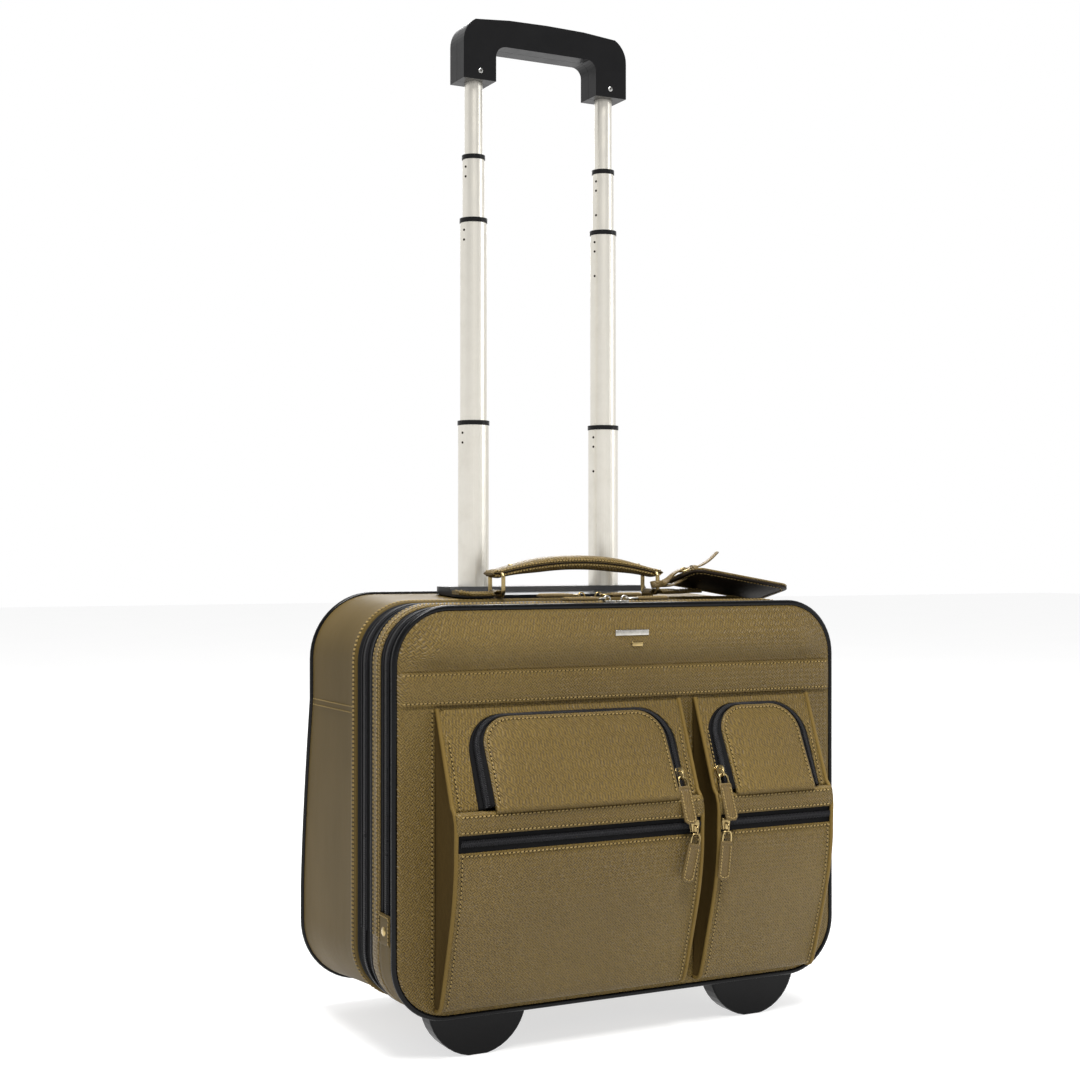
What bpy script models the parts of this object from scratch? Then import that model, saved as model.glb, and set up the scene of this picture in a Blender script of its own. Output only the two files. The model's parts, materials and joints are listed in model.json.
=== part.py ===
"""A rolling laptop case: padded case body, laptop section, pocket front, wheels and four-stage trolley handle.

Metres, +Z up, the front faces -Y, and the origin is on the floor under the middle of the case.
Depths are measured back from the leather face of the front panel.
"""

import math

import bmesh
import bpy
from mathutils import Matrix, Vector

FACE_Y = -0.08335  # world y of the front panel's leather face
GAP = 0.0003
RECESS = 0.0025  # zip tapes lie this far below the leather
SKIN = 0.003

# depths of the layers, from the front face
PANEL_BACK = 0.0066
FRONT_ZIP_MIDDLE = 0.0203
FRONT_ZIP_BACK = 0.0342
SECTION_BACK = 0.0485
MAIN_ZIP_MIDDLE = 0.0667
SHELL_FRONT = 0.0850
BACK_LOW, BACK_HIGH = 0.2170, 0.1930  # the back panel, at the bottom and at the top

# half width, bottom, top and corner radius of the case outline, by depth
OUTLINES = (
    (0.0000, 0.2150, 0.0360, 0.3695, 0.047),
    (0.0342, 0.2150, 0.0360, 0.3705, 0.047),
    (0.0850, 0.2155, 0.0345, 0.3725, 0.050),
    (0.2170, 0.2165, 0.0220, 0.3770, 0.058),
)
ZIP_END_Z = 0.100  # the front zip stops here on both sides
SECTION_HINGE_Z = 0.0365

# trolley: radius, bottom, top of the tube, top of its collar
TUBE_X, TUBE_DEPTH, TUBE_WALL = 0.0688, 0.1653, 0.0012
COLLAR_HEIGHT = 0.0040
STAGES = {
    "a": (0.01425, 0.2360, 0.5364),
    "b": (0.01235, 0.4540, 0.7237),
    "c": (0.01025, 0.5320, 0.7824),
    "d": (0.00835, 0.6000, 0.8700),
}
OUTER_RADIUS, OUTER_BOTTOM, OUTER_TOP = 0.01625, 0.0460, 0.3690
GRIP_BOTTOM, GRIP_UNDER, GRIP_TOP = 0.8500, 0.8830, 0.9090
GRIP_HALF_WIDTH, GRIP_HALF_DEPTH, GRIP_LEG, GRIP_ROUNDING = 0.0857, 0.0153, 0.0330, 0.0072
BEZEL_HALF_WIDTH, BEZEL_DEPTHS, BEZEL_TOP = 0.1025, (0.1115, 0.1900), 0.3834
TUBE_SIDES = 40
BUTTON_X, BUTTON_LENGTH, BUTTON_WIDTH = 0.003, 0.042, 0.013
BUTTON_LOW, BUTTON_TOP, BUTTON_TRAVEL = 0.8965, 0.9115, 0.0025

WHEEL_X, WHEEL_DEPTH, WHEEL_RADIUS, WHEEL_WIDTH = 0.112, 0.192, 0.026, 0.020
AXLE_RADIUS = 0.003
WELL_HALF_WIDTH, WELL_DEPTHS = 0.0155, (0.1630, 0.2150)
BASE_HALF_WIDTH, BASE_DEPTHS, BASE_HEIGHTS = 0.1285, (0.1460, 0.2085), (0.0345, 0.0600)
FOOT_X, FOOT_RADIUS, FOOT_TOP, FOOT_FLAT = 0.136, 0.0450, 0.0356, 0.0085

# carry handle and its wire loops
LOOP_X, LOOP_DEPTHS, LOOP_LOW, LOOP_HIGH, WIRE = 0.079, (0.081, 0.108), 0.3775, 0.3955, 0.0016
HANDLE_DEPTH = (LOOP_DEPTHS[0] + LOOP_DEPTHS[1]) / 2
HANDLE_RISE, HANDLE_HALF_WIDTH = 0.0095, 0.0112

# bellows pockets: left edge, right edge; the flaps on their upper faces; the profile (depth, height)
POCKETS = {"left": (-0.182, 0.052), "right": (0.064, 0.187)}
FLAPS = {"left": (-0.158, 0.025), "right": (0.082, 0.172)}
POCKET_PROFILE = (
    (-0.0004, 0.0440), (-0.0050, 0.0440), (-0.0125, 0.0500), (-0.0250, 0.0900), (-0.0360, 0.1300),
    (-0.0405, 0.1600), (-0.0410, 0.1780), (-0.0350, 0.2085), (-0.0030, 0.2880), (-0.0004, 0.2880),
)
POCKET_INSIDE = (
    (0.0100, 0.0475), (-0.0040, 0.0475), (-0.0100, 0.0520), (-0.0222, 0.0910), (-0.0331, 0.1307),
    (-0.0375, 0.1605), (-0.0380, 0.1775), (-0.0323, 0.2075), (-0.0015, 0.2845), (0.0100, 0.2845),
)
FLAP_HINGE, FLAP_HEIGHT, FLAP_RADIUS, FLAP_THICKNESS = (-0.0350, 0.2085), 0.0785, 0.030, 0.0025
SLOPE = math.atan2(0.0320, 0.0795)  # how far the pockets' upper faces lean back from vertical
FLAP_GAP = 0.0006
POCKET_SLIDER_X = {"left": (0.0330, 0.0400), "right": (0.0740, 0.0710)}  # flap zip, straight zip
PULL_HALF, PULL_RING, PULL_LENGTH, PULL_THICKNESS = 0.0060, 0.0100, 0.0400, 0.0022
TOP_SLIDER_X, TOP_PULL_X = 0.0065, 0.0120

TAG_X, TAG_DEPTH, TAG_SIZE = 0.100, 0.076, (0.106, 0.056, 0.004)
TAG_PIVOT_Z, TAG_RISE, TAG_SLOPE, TAG_ROLL = 0.3855, 0.0080, math.radians(9.5), math.radians(14)

for old in list(bpy.data.objects):
    bpy.data.objects.remove(old, do_unlink=True)
parts = bpy.data.collections.new("rolling_laptop_case")
cutters = bpy.data.collections.new("cutters")
for collection in (parts, cutters):
    bpy.context.scene.collection.children.link(collection)


def material(name, colour, roughness, metallic=0.0):
    made = bpy.data.materials.new(name)
    made.use_nodes = True
    shader = made.node_tree.nodes["Principled BSDF"]
    shader.inputs["Base Color"].default_value = (*colour, 1.0)
    shader.inputs["Roughness"].default_value = roughness
    shader.inputs["Metallic"].default_value = metallic
    made.diffuse_color = (*colour, 1.0)
    return made


LEATHER = material("olive_leather", (0.216, 0.144, 0.048), 0.50)
PULL_LEATHER = material("pull_leather", (0.180, 0.117, 0.040), 0.50)
ZIP = material("zip_tape", (0.012, 0.012, 0.013), 0.80)
PLASTIC = material("black_plastic", (0.015, 0.015, 0.016), 0.45)
ALUMINIUM = material("champagne_aluminium", (0.62, 0.58, 0.51), 0.30, 1.0)
STEEL = material("axle_steel", (0.50, 0.50, 0.50), 0.35, 1.0)
BRASS = material("brass", (0.75, 0.53, 0.26), 0.25, 1.0)
NICKEL = material("nickel", (0.66, 0.64, 0.60), 0.25, 1.0)
RUBBER = material("wheel_rubber", (0.020, 0.020, 0.020), 0.70)


def arc(x, y, radius, start, end, steps):
    angles = (math.radians(start + (end - start) * i / steps) for i in range(steps + 1))
    return [(x + radius * math.cos(a), y + radius * math.sin(a)) for a in angles]


def circle(x, y, radius, sides):
    return arc(x, y, radius, 0, 360 * (sides - 1) / sides, sides - 1)


def rounded(left, right, bottom, top, radius, steps=5):
    return (
        arc(right - radius, top - radius, radius, 0, 90, steps)
        + arc(left + radius, top - radius, radius, 90, 180, steps)
        + arc(left + radius, bottom + radius, radius, 180, 270, steps)
        + arc(right - radius, bottom + radius, radius, 270, 360, steps)
    )


def case_outline(depth):
    """Half width, bottom, top and corner radius of the case at a depth."""
    for near, far in zip(OUTLINES, OUTLINES[1:]):
        if depth <= far[0]:
            share = (depth - near[0]) / (far[0] - near[0])
            return [a + (b - a) * share for a, b in zip(near[1:], far[1:])]
    return list(OUTLINES[-1][1:])


def case_ring(depth, inset):
    half, bottom, top, radius = case_outline(depth)
    return rounded(inset - half, half - inset, bottom + inset, top - inset, radius - inset)


def zip_arch(depth, inset, thickness, end_z):
    """A closed outline over the top and down both sides of the case, open below end_z."""
    half, _, top, radius = case_outline(depth)

    def over(inset):
        right, high, turn = half - inset, top - inset, radius - inset
        return (
            [(right, end_z)]
            + arc(right - turn, high - turn, turn, 0, 90, 5)
            + arc(turn - right, high - turn, turn, 90, 180, 5)
            + [(-right, end_z)]
        )

    return over(inset) + over(inset + thickness)[::-1]


FRAMES = {
    "X": Matrix(((0, 0, 1), (1, 0, 0), (0, 1, 0))),
    "Y": Matrix(((1, 0, 0), (0, 0, -1), (0, 1, 0))),
    "Z": Matrix.Identity(3),
}


def leaning(angle):
    """A frame whose own Y leans back from vertical by angle, and whose Z faces out of the front."""
    return Matrix(((1, 0, 0), (0, math.sin(angle), -math.cos(angle)), (0, math.cos(angle), math.sin(angle))))


def flat(outlines, thickness, frame, place):
    """A mesh: a flat outline, with any holes, extruded by half the thickness each way."""
    curve = bpy.data.curves.new("outline", "CURVE")
    curve.dimensions = "2D"
    curve.fill_mode = "BOTH"
    curve.extrude = thickness / 2
    for outline in outlines:
        spline = curve.splines.new("POLY")
        spline.points.add(len(outline) - 1)
        spline.use_cyclic_u = True
        for point, (x, y) in zip(spline.points, outline):
            point.co = (x, y, 0, 1)
    return baked(curve, Matrix.Translation(place) @ frame.to_4x4())


def baked(curve, transform):
    """The curve's mesh, with its caps welded, moved into place."""
    shape = bpy.data.objects.new("outline", curve)
    parts.objects.link(shape)
    graph = bpy.context.evaluated_depsgraph_get()
    mesh = bpy.data.meshes.new_from_object(shape.evaluated_get(graph))
    bpy.data.objects.remove(shape)
    bpy.data.curves.remove(curve)
    mesh.transform(transform)
    work = bmesh.new()
    work.from_mesh(mesh)
    bmesh.ops.remove_doubles(work, verts=work.verts, dist=1e-6)
    bmesh.ops.recalc_face_normals(work, faces=work.faces)
    work.to_mesh(mesh)
    work.free()
    return mesh


def layer(near, far, outlines):
    """A flat mesh parallel to the front face, between two depths."""
    return flat(outlines, far - near, FRAMES["Y"], (0, FACE_Y + (near + far) / 2, 0))


def upright(outlines, low, high):
    return flat(outlines, high - low, FRAMES["Z"], (0, 0, (low + high) / 2))


def across(outlines, left, right):
    """A flat mesh whose outline is (y, z), between two widths."""
    return flat(outlines, right - left, FRAMES["X"], ((left + right) / 2, 0, 0))


def wire(points, radius, cyclic=False, resolution=2):
    curve = bpy.data.curves.new("wire", "CURVE")
    curve.dimensions = "3D"
    curve.bevel_depth = radius
    curve.bevel_resolution = resolution
    curve.use_fill_caps = True
    spline = curve.splines.new("POLY")
    spline.points.add(len(points) - 1)
    spline.use_cyclic_u = cyclic
    for point, place in zip(spline.points, points):
        point.co = (*place, 1)
    return baked(curve, Matrix.Identity(4))


def block(left, right, near, far, low, high):
    """A box mesh between two widths, two depths and two heights."""
    mesh = bpy.data.meshes.new("block")
    work = bmesh.new()
    bmesh.ops.create_cube(work, size=1.0)
    size = Vector((right - left, far - near, high - low))
    middle = Vector(((left + right) / 2, FACE_Y + (near + far) / 2, (low + high) / 2))
    bmesh.ops.transform(work, matrix=Matrix.Translation(middle) @ Matrix.Diagonal((*size, 1)), verts=work.verts)
    work.to_mesh(mesh)
    work.free()
    return mesh


def pivot(name, place, parent=None):
    empty = bpy.data.objects.new(name, None)
    empty.empty_display_size = 0.01
    empty.location = place
    parts.objects.link(empty)
    hang(empty, parent)
    return empty


def hang(obj, parent):
    """Parents an object to a pivot, and leaves it where it is. A pivot is never turned."""
    if parent:
        obj.parent = parent
        obj.matrix_parent_inverse = Matrix.Translation(-spots[parent.name])
    if obj.type == "EMPTY":
        spots[obj.name] = Vector(obj.location)


spots = {}


def solid(name, mesh, look, parent=None, bevel=0.0):
    mesh.name = name
    mesh.materials.append(look)
    mesh.shade_smooth()
    mesh.set_sharp_from_angle(angle=math.radians(35))
    obj = bpy.data.objects.new(name, mesh)
    parts.objects.link(obj)
    hang(obj, parent)
    if bevel:
        modifier = obj.modifiers.new("Bevel", "BEVEL")
        modifier.width = bevel
        modifier.segments = 2
        modifier.limit_method = "ANGLE"
        modifier.angle_limit = math.radians(40)
    return obj


def change(obj, mesh, operation):
    """A Boolean on obj with a hidden helper made of mesh."""
    helper = bpy.data.objects.new(f"{obj.name}_{operation.lower()}", mesh)
    cutters.objects.link(helper)
    helper.hide_render = True
    helper.display_type = "WIRE"
    modifier = obj.modifiers.new(operation.title(), "BOOLEAN")
    modifier.operation = operation
    modifier.object = helper
    modifier.solver = "EXACT"


def cut(obj, mesh):
    change(obj, mesh, "DIFFERENCE")


def join(obj, mesh):
    change(obj, mesh, "UNION")


def back_depth(z):
    """The back panel leans in towards the top."""
    rise = min(1.0, max(0.0, (z - 0.107) / 0.176))
    return BACK_LOW - (BACK_LOW - BACK_HIGH) * rise**1.4


def shell_rings():
    """The front and back rings of the rear shell, from the bottom up its right side and down its left."""
    rings = []
    for depth in (SHELL_FRONT, BACK_LOW):
        half, bottom, top, radius = case_outline(depth)
        low, high = bottom + radius, top - radius
        sides = [(half, low + (high - low) * i / 5) for i in range(1, 5)]
        right = arc(half - radius, low, radius, 270, 360, 5) + sides + arc(half - radius, high, radius, 0, 90, 5)
        outline = right + [(-x, z) for x, z in reversed(right)]
        rings.append([(x, FACE_Y + (depth if depth == SHELL_FRONT else back_depth(z)), z) for x, z in outline])
    return rings


def rear_shell():
    """The leather shell of the main compartment, open to the front, with holes for the tubes and the wheels."""
    mesh = bpy.data.meshes.new("rear_shell")
    work = bmesh.new()
    front, back = ([work.verts.new(point) for point in ring] for ring in shell_rings())
    count = len(front)
    for i in range(count):
        j = (i + 1) % count
        work.faces.new((front[i], front[j], back[j], back[i]))
    for i in range(count // 2 - 1):
        work.faces.new((back[i], back[i + 1], back[count - 2 - i], back[count - 1 - i]))
    bmesh.ops.recalc_face_normals(work, faces=work.faces)
    work.to_mesh(mesh)
    work.free()
    obj = solid("rear_shell", mesh, LEATHER)
    walls = obj.modifiers.new("Walls", "SOLIDIFY")
    walls.thickness = SKIN
    walls.offset = -1
    walls.use_even_offset = True
    radius = STAGES["a"][0] + 2 * GAP
    for side in (-1, 1):
        cut(obj, upright([circle(side * TUBE_X, FACE_Y + TUBE_DEPTH, radius, TUBE_SIDES)], 0.34, 0.40))
        inner, outer = sorted((side * (WHEEL_X - 0.0160), side * (WHEEL_X + 0.0160)))
        cut(obj, block(inner, outer, 0.1626, 0.25, -0.01, 0.0620))


def zips():
    """The tapes of the main zip, all round, and of the front zip, over the top and down the sides."""

    def all_round(near, far):
        return layer(near, far, [case_ring(far, RECESS), case_ring(far, RECESS + SKIN)])

    def arch(near, far):
        return layer(near, far, [zip_arch(near, RECESS, SKIN, ZIP_END_Z + GAP)])

    solid("main_zip_rear", all_round(MAIN_ZIP_MIDDLE + GAP / 2, SHELL_FRONT - GAP), ZIP)
    solid("main_zip_front", all_round(SECTION_BACK + GAP, MAIN_ZIP_MIDDLE - GAP / 2), ZIP, section)
    solid("front_zip_rear", arch(FRONT_ZIP_MIDDLE + GAP / 2, FRONT_ZIP_BACK), ZIP, section)
    solid("front_zip_front", arch(PANEL_BACK + GAP, FRONT_ZIP_MIDDLE - GAP / 2), ZIP, front)


def laptop_frame():
    """The laptop section: a leather tray with its divider at the back, cut away for the front zip."""
    near = PANEL_BACK + GAP
    obj = solid("laptop_frame", layer(near, SECTION_BACK, [case_ring(FRONT_ZIP_BACK, 0.0)]), LEATHER, section)
    cut(obj, layer(-0.01, SECTION_BACK - SKIN, [case_ring(FRONT_ZIP_BACK, SKIN + RECESS)]))
    cut(obj, block(-0.3, 0.3, -0.02, FRONT_ZIP_BACK + GAP, ZIP_END_Z, 0.45))


def feet():
    """Half-moon plates under the front of the laptop section, each with a small flat where it stands."""
    flat_angle = math.degrees(math.acos(FOOT_FLAT / FOOT_RADIUS))
    centre_z = FOOT_RADIUS * math.sin(math.radians(flat_angle))
    rise = math.degrees(math.asin((centre_z - FOOT_TOP) / FOOT_RADIUS))
    left_half = arc(0, centre_z, FOOT_RADIUS, 180 + rise, 180 + flat_angle, 8)
    outline = left_half + [(-x, z) for x, z in reversed(left_half)]
    for side, name in ((-1, "left"), (1, "right")):
        plate = [(side * FOOT_X + x, z) for x, z in outline]
        solid(f"foot_{name}", layer(0.0110, 0.0300, [plate]), PLASTIC, section, bevel=0.0015)


def front_panel():
    solid("front_panel", layer(0.0, PANEL_BACK, [case_ring(0.0, 0.0)]), LEATHER, front, bevel=0.0025)


def pockets():
    """Bellows pockets, hollow and open to the panel behind, with a flap cut out of each sloping upper face."""
    hinge = Vector((0, FACE_Y + FLAP_HINGE[0], FLAP_HINGE[1]))
    frame = leaning(SLOPE)
    for side, (left, right) in POCKETS.items():
        outside, inside = ([(FACE_Y + y, z) for y, z in profile] for profile in (POCKET_PROFILE, POCKET_INSIDE))
        pocket = solid(f"{side}_pocket", across([outside], left, right), LEATHER, front)
        cut(pocket, across([inside], left + SKIN, right - SKIN))
        start, end = FLAPS[side]
        opening = flap_outline(start - FLAP_GAP, end + FLAP_GAP, 0.0, FLAP_HEIGHT + FLAP_GAP)
        cut(pocket, flat([opening], 0.02, frame, hinge))
        flap = pivot(f"{side}_pocket_flap_pivot", hinge, front)
        outline = flap_outline(start, end, FLAP_GAP, FLAP_HEIGHT)
        middle = hinge + frame @ Vector((0, 0, -FLAP_THICKNESS / 2))
        solid(f"{side}_pocket_flap", flat([outline], FLAP_THICKNESS, frame, middle), LEATHER, flap)


def flap_outline(left, right, bottom, top):
    """A D on its side: square at the bottom, round at both top corners."""
    corners = arc(right - FLAP_RADIUS, top - FLAP_RADIUS, FLAP_RADIUS, 0, 90, 6)
    corners += arc(left + FLAP_RADIUS, top - FLAP_RADIUS, FLAP_RADIUS, 90, 180, 6)
    return [(right, bottom)] + corners + [(left, bottom)]


def pull_outline(slant=0.0):
    """A wire ring and leather tab hanging from the origin, leaning sideways by slant."""
    half, ring, length = PULL_HALF, PULL_RING, PULL_LENGTH
    outer = [
        (0.0042, 0.0012), (-0.0042, 0.0012), (-0.0042, -ring), (-half, -ring),
        (-half, 0.003 - length), (0.003 - half, -length), (half - 0.003, -length), (half, 0.003 - length),
        (half, -ring), (0.0042, -ring),
    ]
    hole = [(0.0027, -0.0006), (-0.0027, -0.0006), (-0.0027, 0.002 - ring), (0.0027, 0.002 - ring)]
    turn = Matrix.Rotation(slant, 2)
    return [[tuple(turn @ Vector(point)) for point in outline] for outline in (outer, hole)]


def zip_slider(name, place, frame, size, look, parent, reach, slant=0.0):
    """A slider body and its pull. reach is the pull's pivot, along the slider and above its face."""
    width, length, height = size
    body = pivot(f"{name}_slider_track", place, parent)
    outline = rounded(-width / 2, width / 2, -length / 2, length / 2, 0.0015, 2)
    solid(f"{name}_slider", flat([outline], height, frame, place), look, body)
    hinge = place + frame @ Vector((0, reach[0], height / 2 + reach[1]))
    pull = pivot(f"{name}_pull_pivot", hinge, body)
    solid(f"{name}_pull", flat(pull_outline(slant), PULL_THICKNESS, frame, hinge), PULL_LEATHER, pull)


def zip_sliders():
    """Two sliders on each of the top zips, and two on each pocket, with their pulls."""
    for side, sign in (("left", -1), ("right", 1)):
        # the frame's own -Y points outward along the case top, and its Z up
        outward = Matrix(((0, -sign, 0), (sign, 0, 0), (0, 0, 1)))
        for zip_name, depth, far, look, parent in (
            ("main_zip", MAIN_ZIP_MIDDLE, SHELL_FRONT, BRASS, None),
            ("front_zip", FRONT_ZIP_MIDDLE, FRONT_ZIP_BACK, NICKEL, section),
        ):
            top = case_outline(far)[2] - RECESS
            place = Vector((sign * TOP_SLIDER_X, FACE_Y + depth, top + 2 * GAP + 0.0022))
            size = (0.0085, 0.0110, 0.0044)
            reach = (TOP_SLIDER_X - TOP_PULL_X, 2 * GAP + PULL_THICKNESS / 2)
            zip_slider(f"{zip_name}_{side}", place, outward, size, look, parent, reach)
    slope = leaning(SLOPE)
    for side, (flap_x, straight_x) in POCKET_SLIDER_X.items():
        hinge = Vector((flap_x, FACE_Y + FLAP_HINGE[0], FLAP_HINGE[1]))
        place = hinge + slope @ Vector((0, 0.0180, 0.0024))
        zip_slider(f"{side}_flap_zip", place, slope, (0.0080, 0.0110, 0.0040), BRASS, front, (-0.004, 0.0016))
        upright_frame = leaning(0.0)
        place = Vector((straight_x, FACE_Y - 0.0434, 0.1835))
        size, reach = (0.0080, 0.0100, 0.0040), (-0.0070, 0.0016)
        slant = math.radians(-14 if side == "left" else -6)
        zip_slider(f"{side}_pocket_zip", place, upright_frame, size, BRASS, front, reach, slant)


def wheels_and_base():
    """The base moulding with its two wheel wells, the wheels and their axles."""
    top = BASE_HEIGHTS[1]
    base = solid("wheel_base", block(-BASE_HALF_WIDTH, BASE_HALF_WIDTH, *BASE_DEPTHS, *BASE_HEIGHTS), PLASTIC)
    for x in (-WHEEL_X, WHEEL_X):
        join(base, block(x - WELL_HALF_WIDTH, x + WELL_HALF_WIDTH, *WELL_DEPTHS, 0.0120, top))
    for side, name in ((-1, "left"), (1, "right")):
        x = side * WHEEL_X
        cut(base, block(x - 0.0110, x + 0.0110, 0.1600, 0.2500, -0.0100, 0.0550))
        tube = circle(side * TUBE_X, FACE_Y + TUBE_DEPTH, OUTER_RADIUS + GAP, TUBE_SIDES)
        cut(base, upright([tube], OUTER_BOTTOM - 0.001, 0.08))
        centre = (FACE_Y + WHEEL_DEPTH, WHEEL_RADIUS)
        cut(base, across([circle(*centre, AXLE_RADIUS + GAP, 16)], x - 0.02, x + 0.02))
        solid(f"axle_{name}", across([circle(*centre, AXLE_RADIUS, 16)], x - 0.0153, x + 0.0153), STEEL)
        spin = pivot(f"wheel_{name}_pivot", (x, *centre))
        rim = across(
            [circle(*centre, WHEEL_RADIUS, 48), circle(*centre, AXLE_RADIUS + GAP, 16)],
            x - WHEEL_WIDTH / 2,
            x + WHEEL_WIDTH / 2,
        )
        solid(f"wheel_{name}", rim, RUBBER, spin)


def pipe(radius, bore, x, low, high):
    y = FACE_Y + TUBE_DEPTH
    return upright([circle(x, y, radius, TUBE_SIDES), circle(x, y, bore, TUBE_SIDES)], low, high)


def trolley():
    """The fixed tubes, and four telescoping stages, each with a collar that guides the next."""
    names = list(STAGES)
    parent = None
    holders = {}
    for stage, (_, _, top) in STAGES.items():
        parent = pivot(f"stage_{stage}_slide", (0, FACE_Y + TUBE_DEPTH, top), parent)
        holders[stage] = parent
    for side, hand in ((-1, "left"), (1, "right")):
        x = side * TUBE_X
        bore = STAGES["a"][0] + 2 * GAP
        solid(f"outer_tube_{hand}", pipe(OUTER_RADIUS, bore, x, OUTER_BOTTOM, OUTER_TOP), ALUMINIUM)
        for stage, following in zip(names, names[1:] + [None]):
            radius, bottom, top = STAGES[stage]
            low = top - COLLAR_HEIGHT if following else top
            tube = pipe(radius, radius - TUBE_WALL, x, bottom, low - (GAP if following else 0))
            solid(f"stage_{stage}_tube_{hand}", tube, ALUMINIUM, holders[stage])
            if following:
                collar = pipe(radius + 0.0006, STAGES[following][0] + GAP, x, low, top)
                solid(f"stage_{stage}_collar_{hand}", collar, PLASTIC, holders[stage])
    return holders["d"]


def bezel():
    """The black plate on the case top that the tubes rise from, following the slope of the case."""
    near, far = BEZEL_DEPTHS
    slope = (OUTLINES[3][3] - OUTLINES[2][3]) / (BACK_HIGH - SHELL_FRONT)
    low = [OUTLINES[2][3] + GAP + (depth - SHELL_FRONT) * slope for depth in (near, far)]
    side = [
        (near, low[0]), (far, low[1]), (far, BEZEL_TOP - 0.0019), (far - 0.002, BEZEL_TOP),
        (0.1440, BEZEL_TOP), (0.1390, 0.3785), (near + 0.001, 0.3765),
    ]
    half = BEZEL_HALF_WIDTH
    obj = solid("trolley_bezel", across([[(FACE_Y + y, z) for y, z in side]], -half, half), PLASTIC)
    plan = upright([rounded(-half, half, FACE_Y + near, FACE_Y + far, 0.022, 10)], 0.35, 0.40)
    change(obj, plan, "INTERSECT")
    for side in (-1, 1):
        hole = circle(side * TUBE_X, FACE_Y + TUBE_DEPTH, STAGES["a"][0] + GAP, TUBE_SIDES)
        cut(obj, upright([hole], 0.35, 0.40))


def grip(holder):
    """Two shells of an arched handle round the last tubes, and the release button on top."""
    half, leg = GRIP_HALF_WIDTH, GRIP_LEG
    outside = [(half, GRIP_BOTTOM)] + arc(half - 0.024, GRIP_TOP - 0.0245, 0.024, 0, 60, 7)
    crown = [(0.040, GRIP_TOP - 0.0008), (0.0, GRIP_TOP)]
    inner = half - leg
    inside = [(inner, GRIP_BOTTOM)] + arc(inner - 0.010, GRIP_UNDER - 0.010, 0.010, 0, 90, 6)
    right = outside + crown[:1]
    outline = right + crown[1:] + [(-x, z) for x, z in reversed(right)]
    outline += [(-x, z) for x, z in inside] + [(x, z) for x, z in reversed(inside)]
    button = pivot("grip_button_slide", (BUTTON_X, FACE_Y + TUBE_DEPTH, BUTTON_TOP), holder)
    for name, facing in (("grip_front", -1), ("grip_rear", 1)):
        rim, seam = TUBE_DEPTH + facing * GRIP_HALF_DEPTH, TUBE_DEPTH + facing * GAP / 2
        shell = solid(name, layer(*sorted((rim, seam)), [outline]), PLASTIC, holder)
        round_rim(shell, FACE_Y + rim)
        for side in (-1, 1):
            socket = circle(side * TUBE_X, FACE_Y + TUBE_DEPTH, STAGES["d"][0] + GAP, TUBE_SIDES)
            cut(shell, upright([socket], 0.80, STAGES["d"][2] + GAP))
        play = 0.0006
        reach, width = BUTTON_LENGTH / 2 + play, BUTTON_WIDTH / 2 + play
        low = BUTTON_LOW - BUTTON_TRAVEL - GAP
        cut(shell, block(BUTTON_X - reach, BUTTON_X + reach, TUBE_DEPTH - width, TUBE_DEPTH + width, low, 0.95))
    y = FACE_Y + TUBE_DEPTH
    reach, width = BUTTON_LENGTH / 2, BUTTON_WIDTH / 2
    plan = rounded(BUTTON_X - reach, BUTTON_X + reach, y - width, y + width, 0.006, 3)
    solid("grip_button", upright([plan], BUTTON_LOW, BUTTON_TOP), PLASTIC, button, bevel=0.001)


def round_rim(obj, y):
    """Rounds the edges of a grip shell that lie in its outer plane."""
    weights = obj.data.attributes.new("bevel_weight_edge", "FLOAT", "EDGE")
    for edge, weight in zip(obj.data.edges, weights.data):
        weight.value = float(all(abs(obj.data.vertices[i].co.y - y) < 1e-5 for i in edge.vertices))
    modifier = obj.modifiers.new("Rim", "BEVEL")
    modifier.width = GRIP_ROUNDING
    modifier.segments = 4
    modifier.limit_method = "WEIGHT"


def carry_handle():
    """Wire loops on leather tabs, and the arched leather handle between them."""
    near, far = (FACE_Y + depth for depth in LOOP_DEPTHS)
    middle = FACE_Y + HANDLE_DEPTH
    swing = None
    for side, name in ((-1, "left"), (1, "right")):
        x = side * LOOP_X
        tab = solid(
            f"handle_tab_{name}",
            block(*sorted((x + side * 0.002, x + side * 0.041)), 0.0865, 0.1025, 0.3741, 0.3771),
            LEATHER,
        )
        barrel = FACE_Y + 0.0865, FACE_Y + 0.1025
        join(tab, flat([circle(x, LOOP_LOW, 0.0040, 14)], 0.0160, FRAMES["Y"], (0, sum(barrel) / 2, 0)))
        cut(tab, flat([circle(x, LOOP_LOW, WIRE + 0.0005, 12)], 0.03, FRAMES["Y"], (0, middle, 0)))
        loop = pivot(f"handle_loop_{name}_pivot", (x, middle, LOOP_LOW))
        bend = 0.003
        path = rounded(near, far, LOOP_LOW, LOOP_HIGH, bend, 3)
        solid(f"handle_loop_{name}", wire([(x, y, z) for y, z in path], WIRE, cyclic=True), BRASS, loop)
        swing = swing or pivot("carry_handle_pivot", (x, middle, LOOP_HIGH), loop)
    reach = LOOP_X + 0.009
    rows = []
    count = 13
    for i in range(count):
        share = -1 + 2 * i / (count - 1)
        x = reach * math.sin(share * math.pi / 2)
        flatness = min(1.0, abs(x) / LOOP_X)
        centre = LOOP_HIGH + HANDLE_RISE * (1 - flatness**2)
        thick = 0.0040 + 0.0022 * (1 - flatness**3)
        rows.append([(x, y, z) for y, z in rounded(
            middle - HANDLE_HALF_WIDTH, middle + HANDLE_HALF_WIDTH, centre - thick, centre + thick, 0.0035, 2
        )])
    handle = solid("carry_handle", loft(rows), LEATHER, swing)
    for side in (-1, 1):
        hole = circle(side * LOOP_X, LOOP_HIGH, WIRE + 0.0006, 12)
        cut(handle, flat([hole], 0.05, FRAMES["Y"], (0, middle, 0)))


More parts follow.
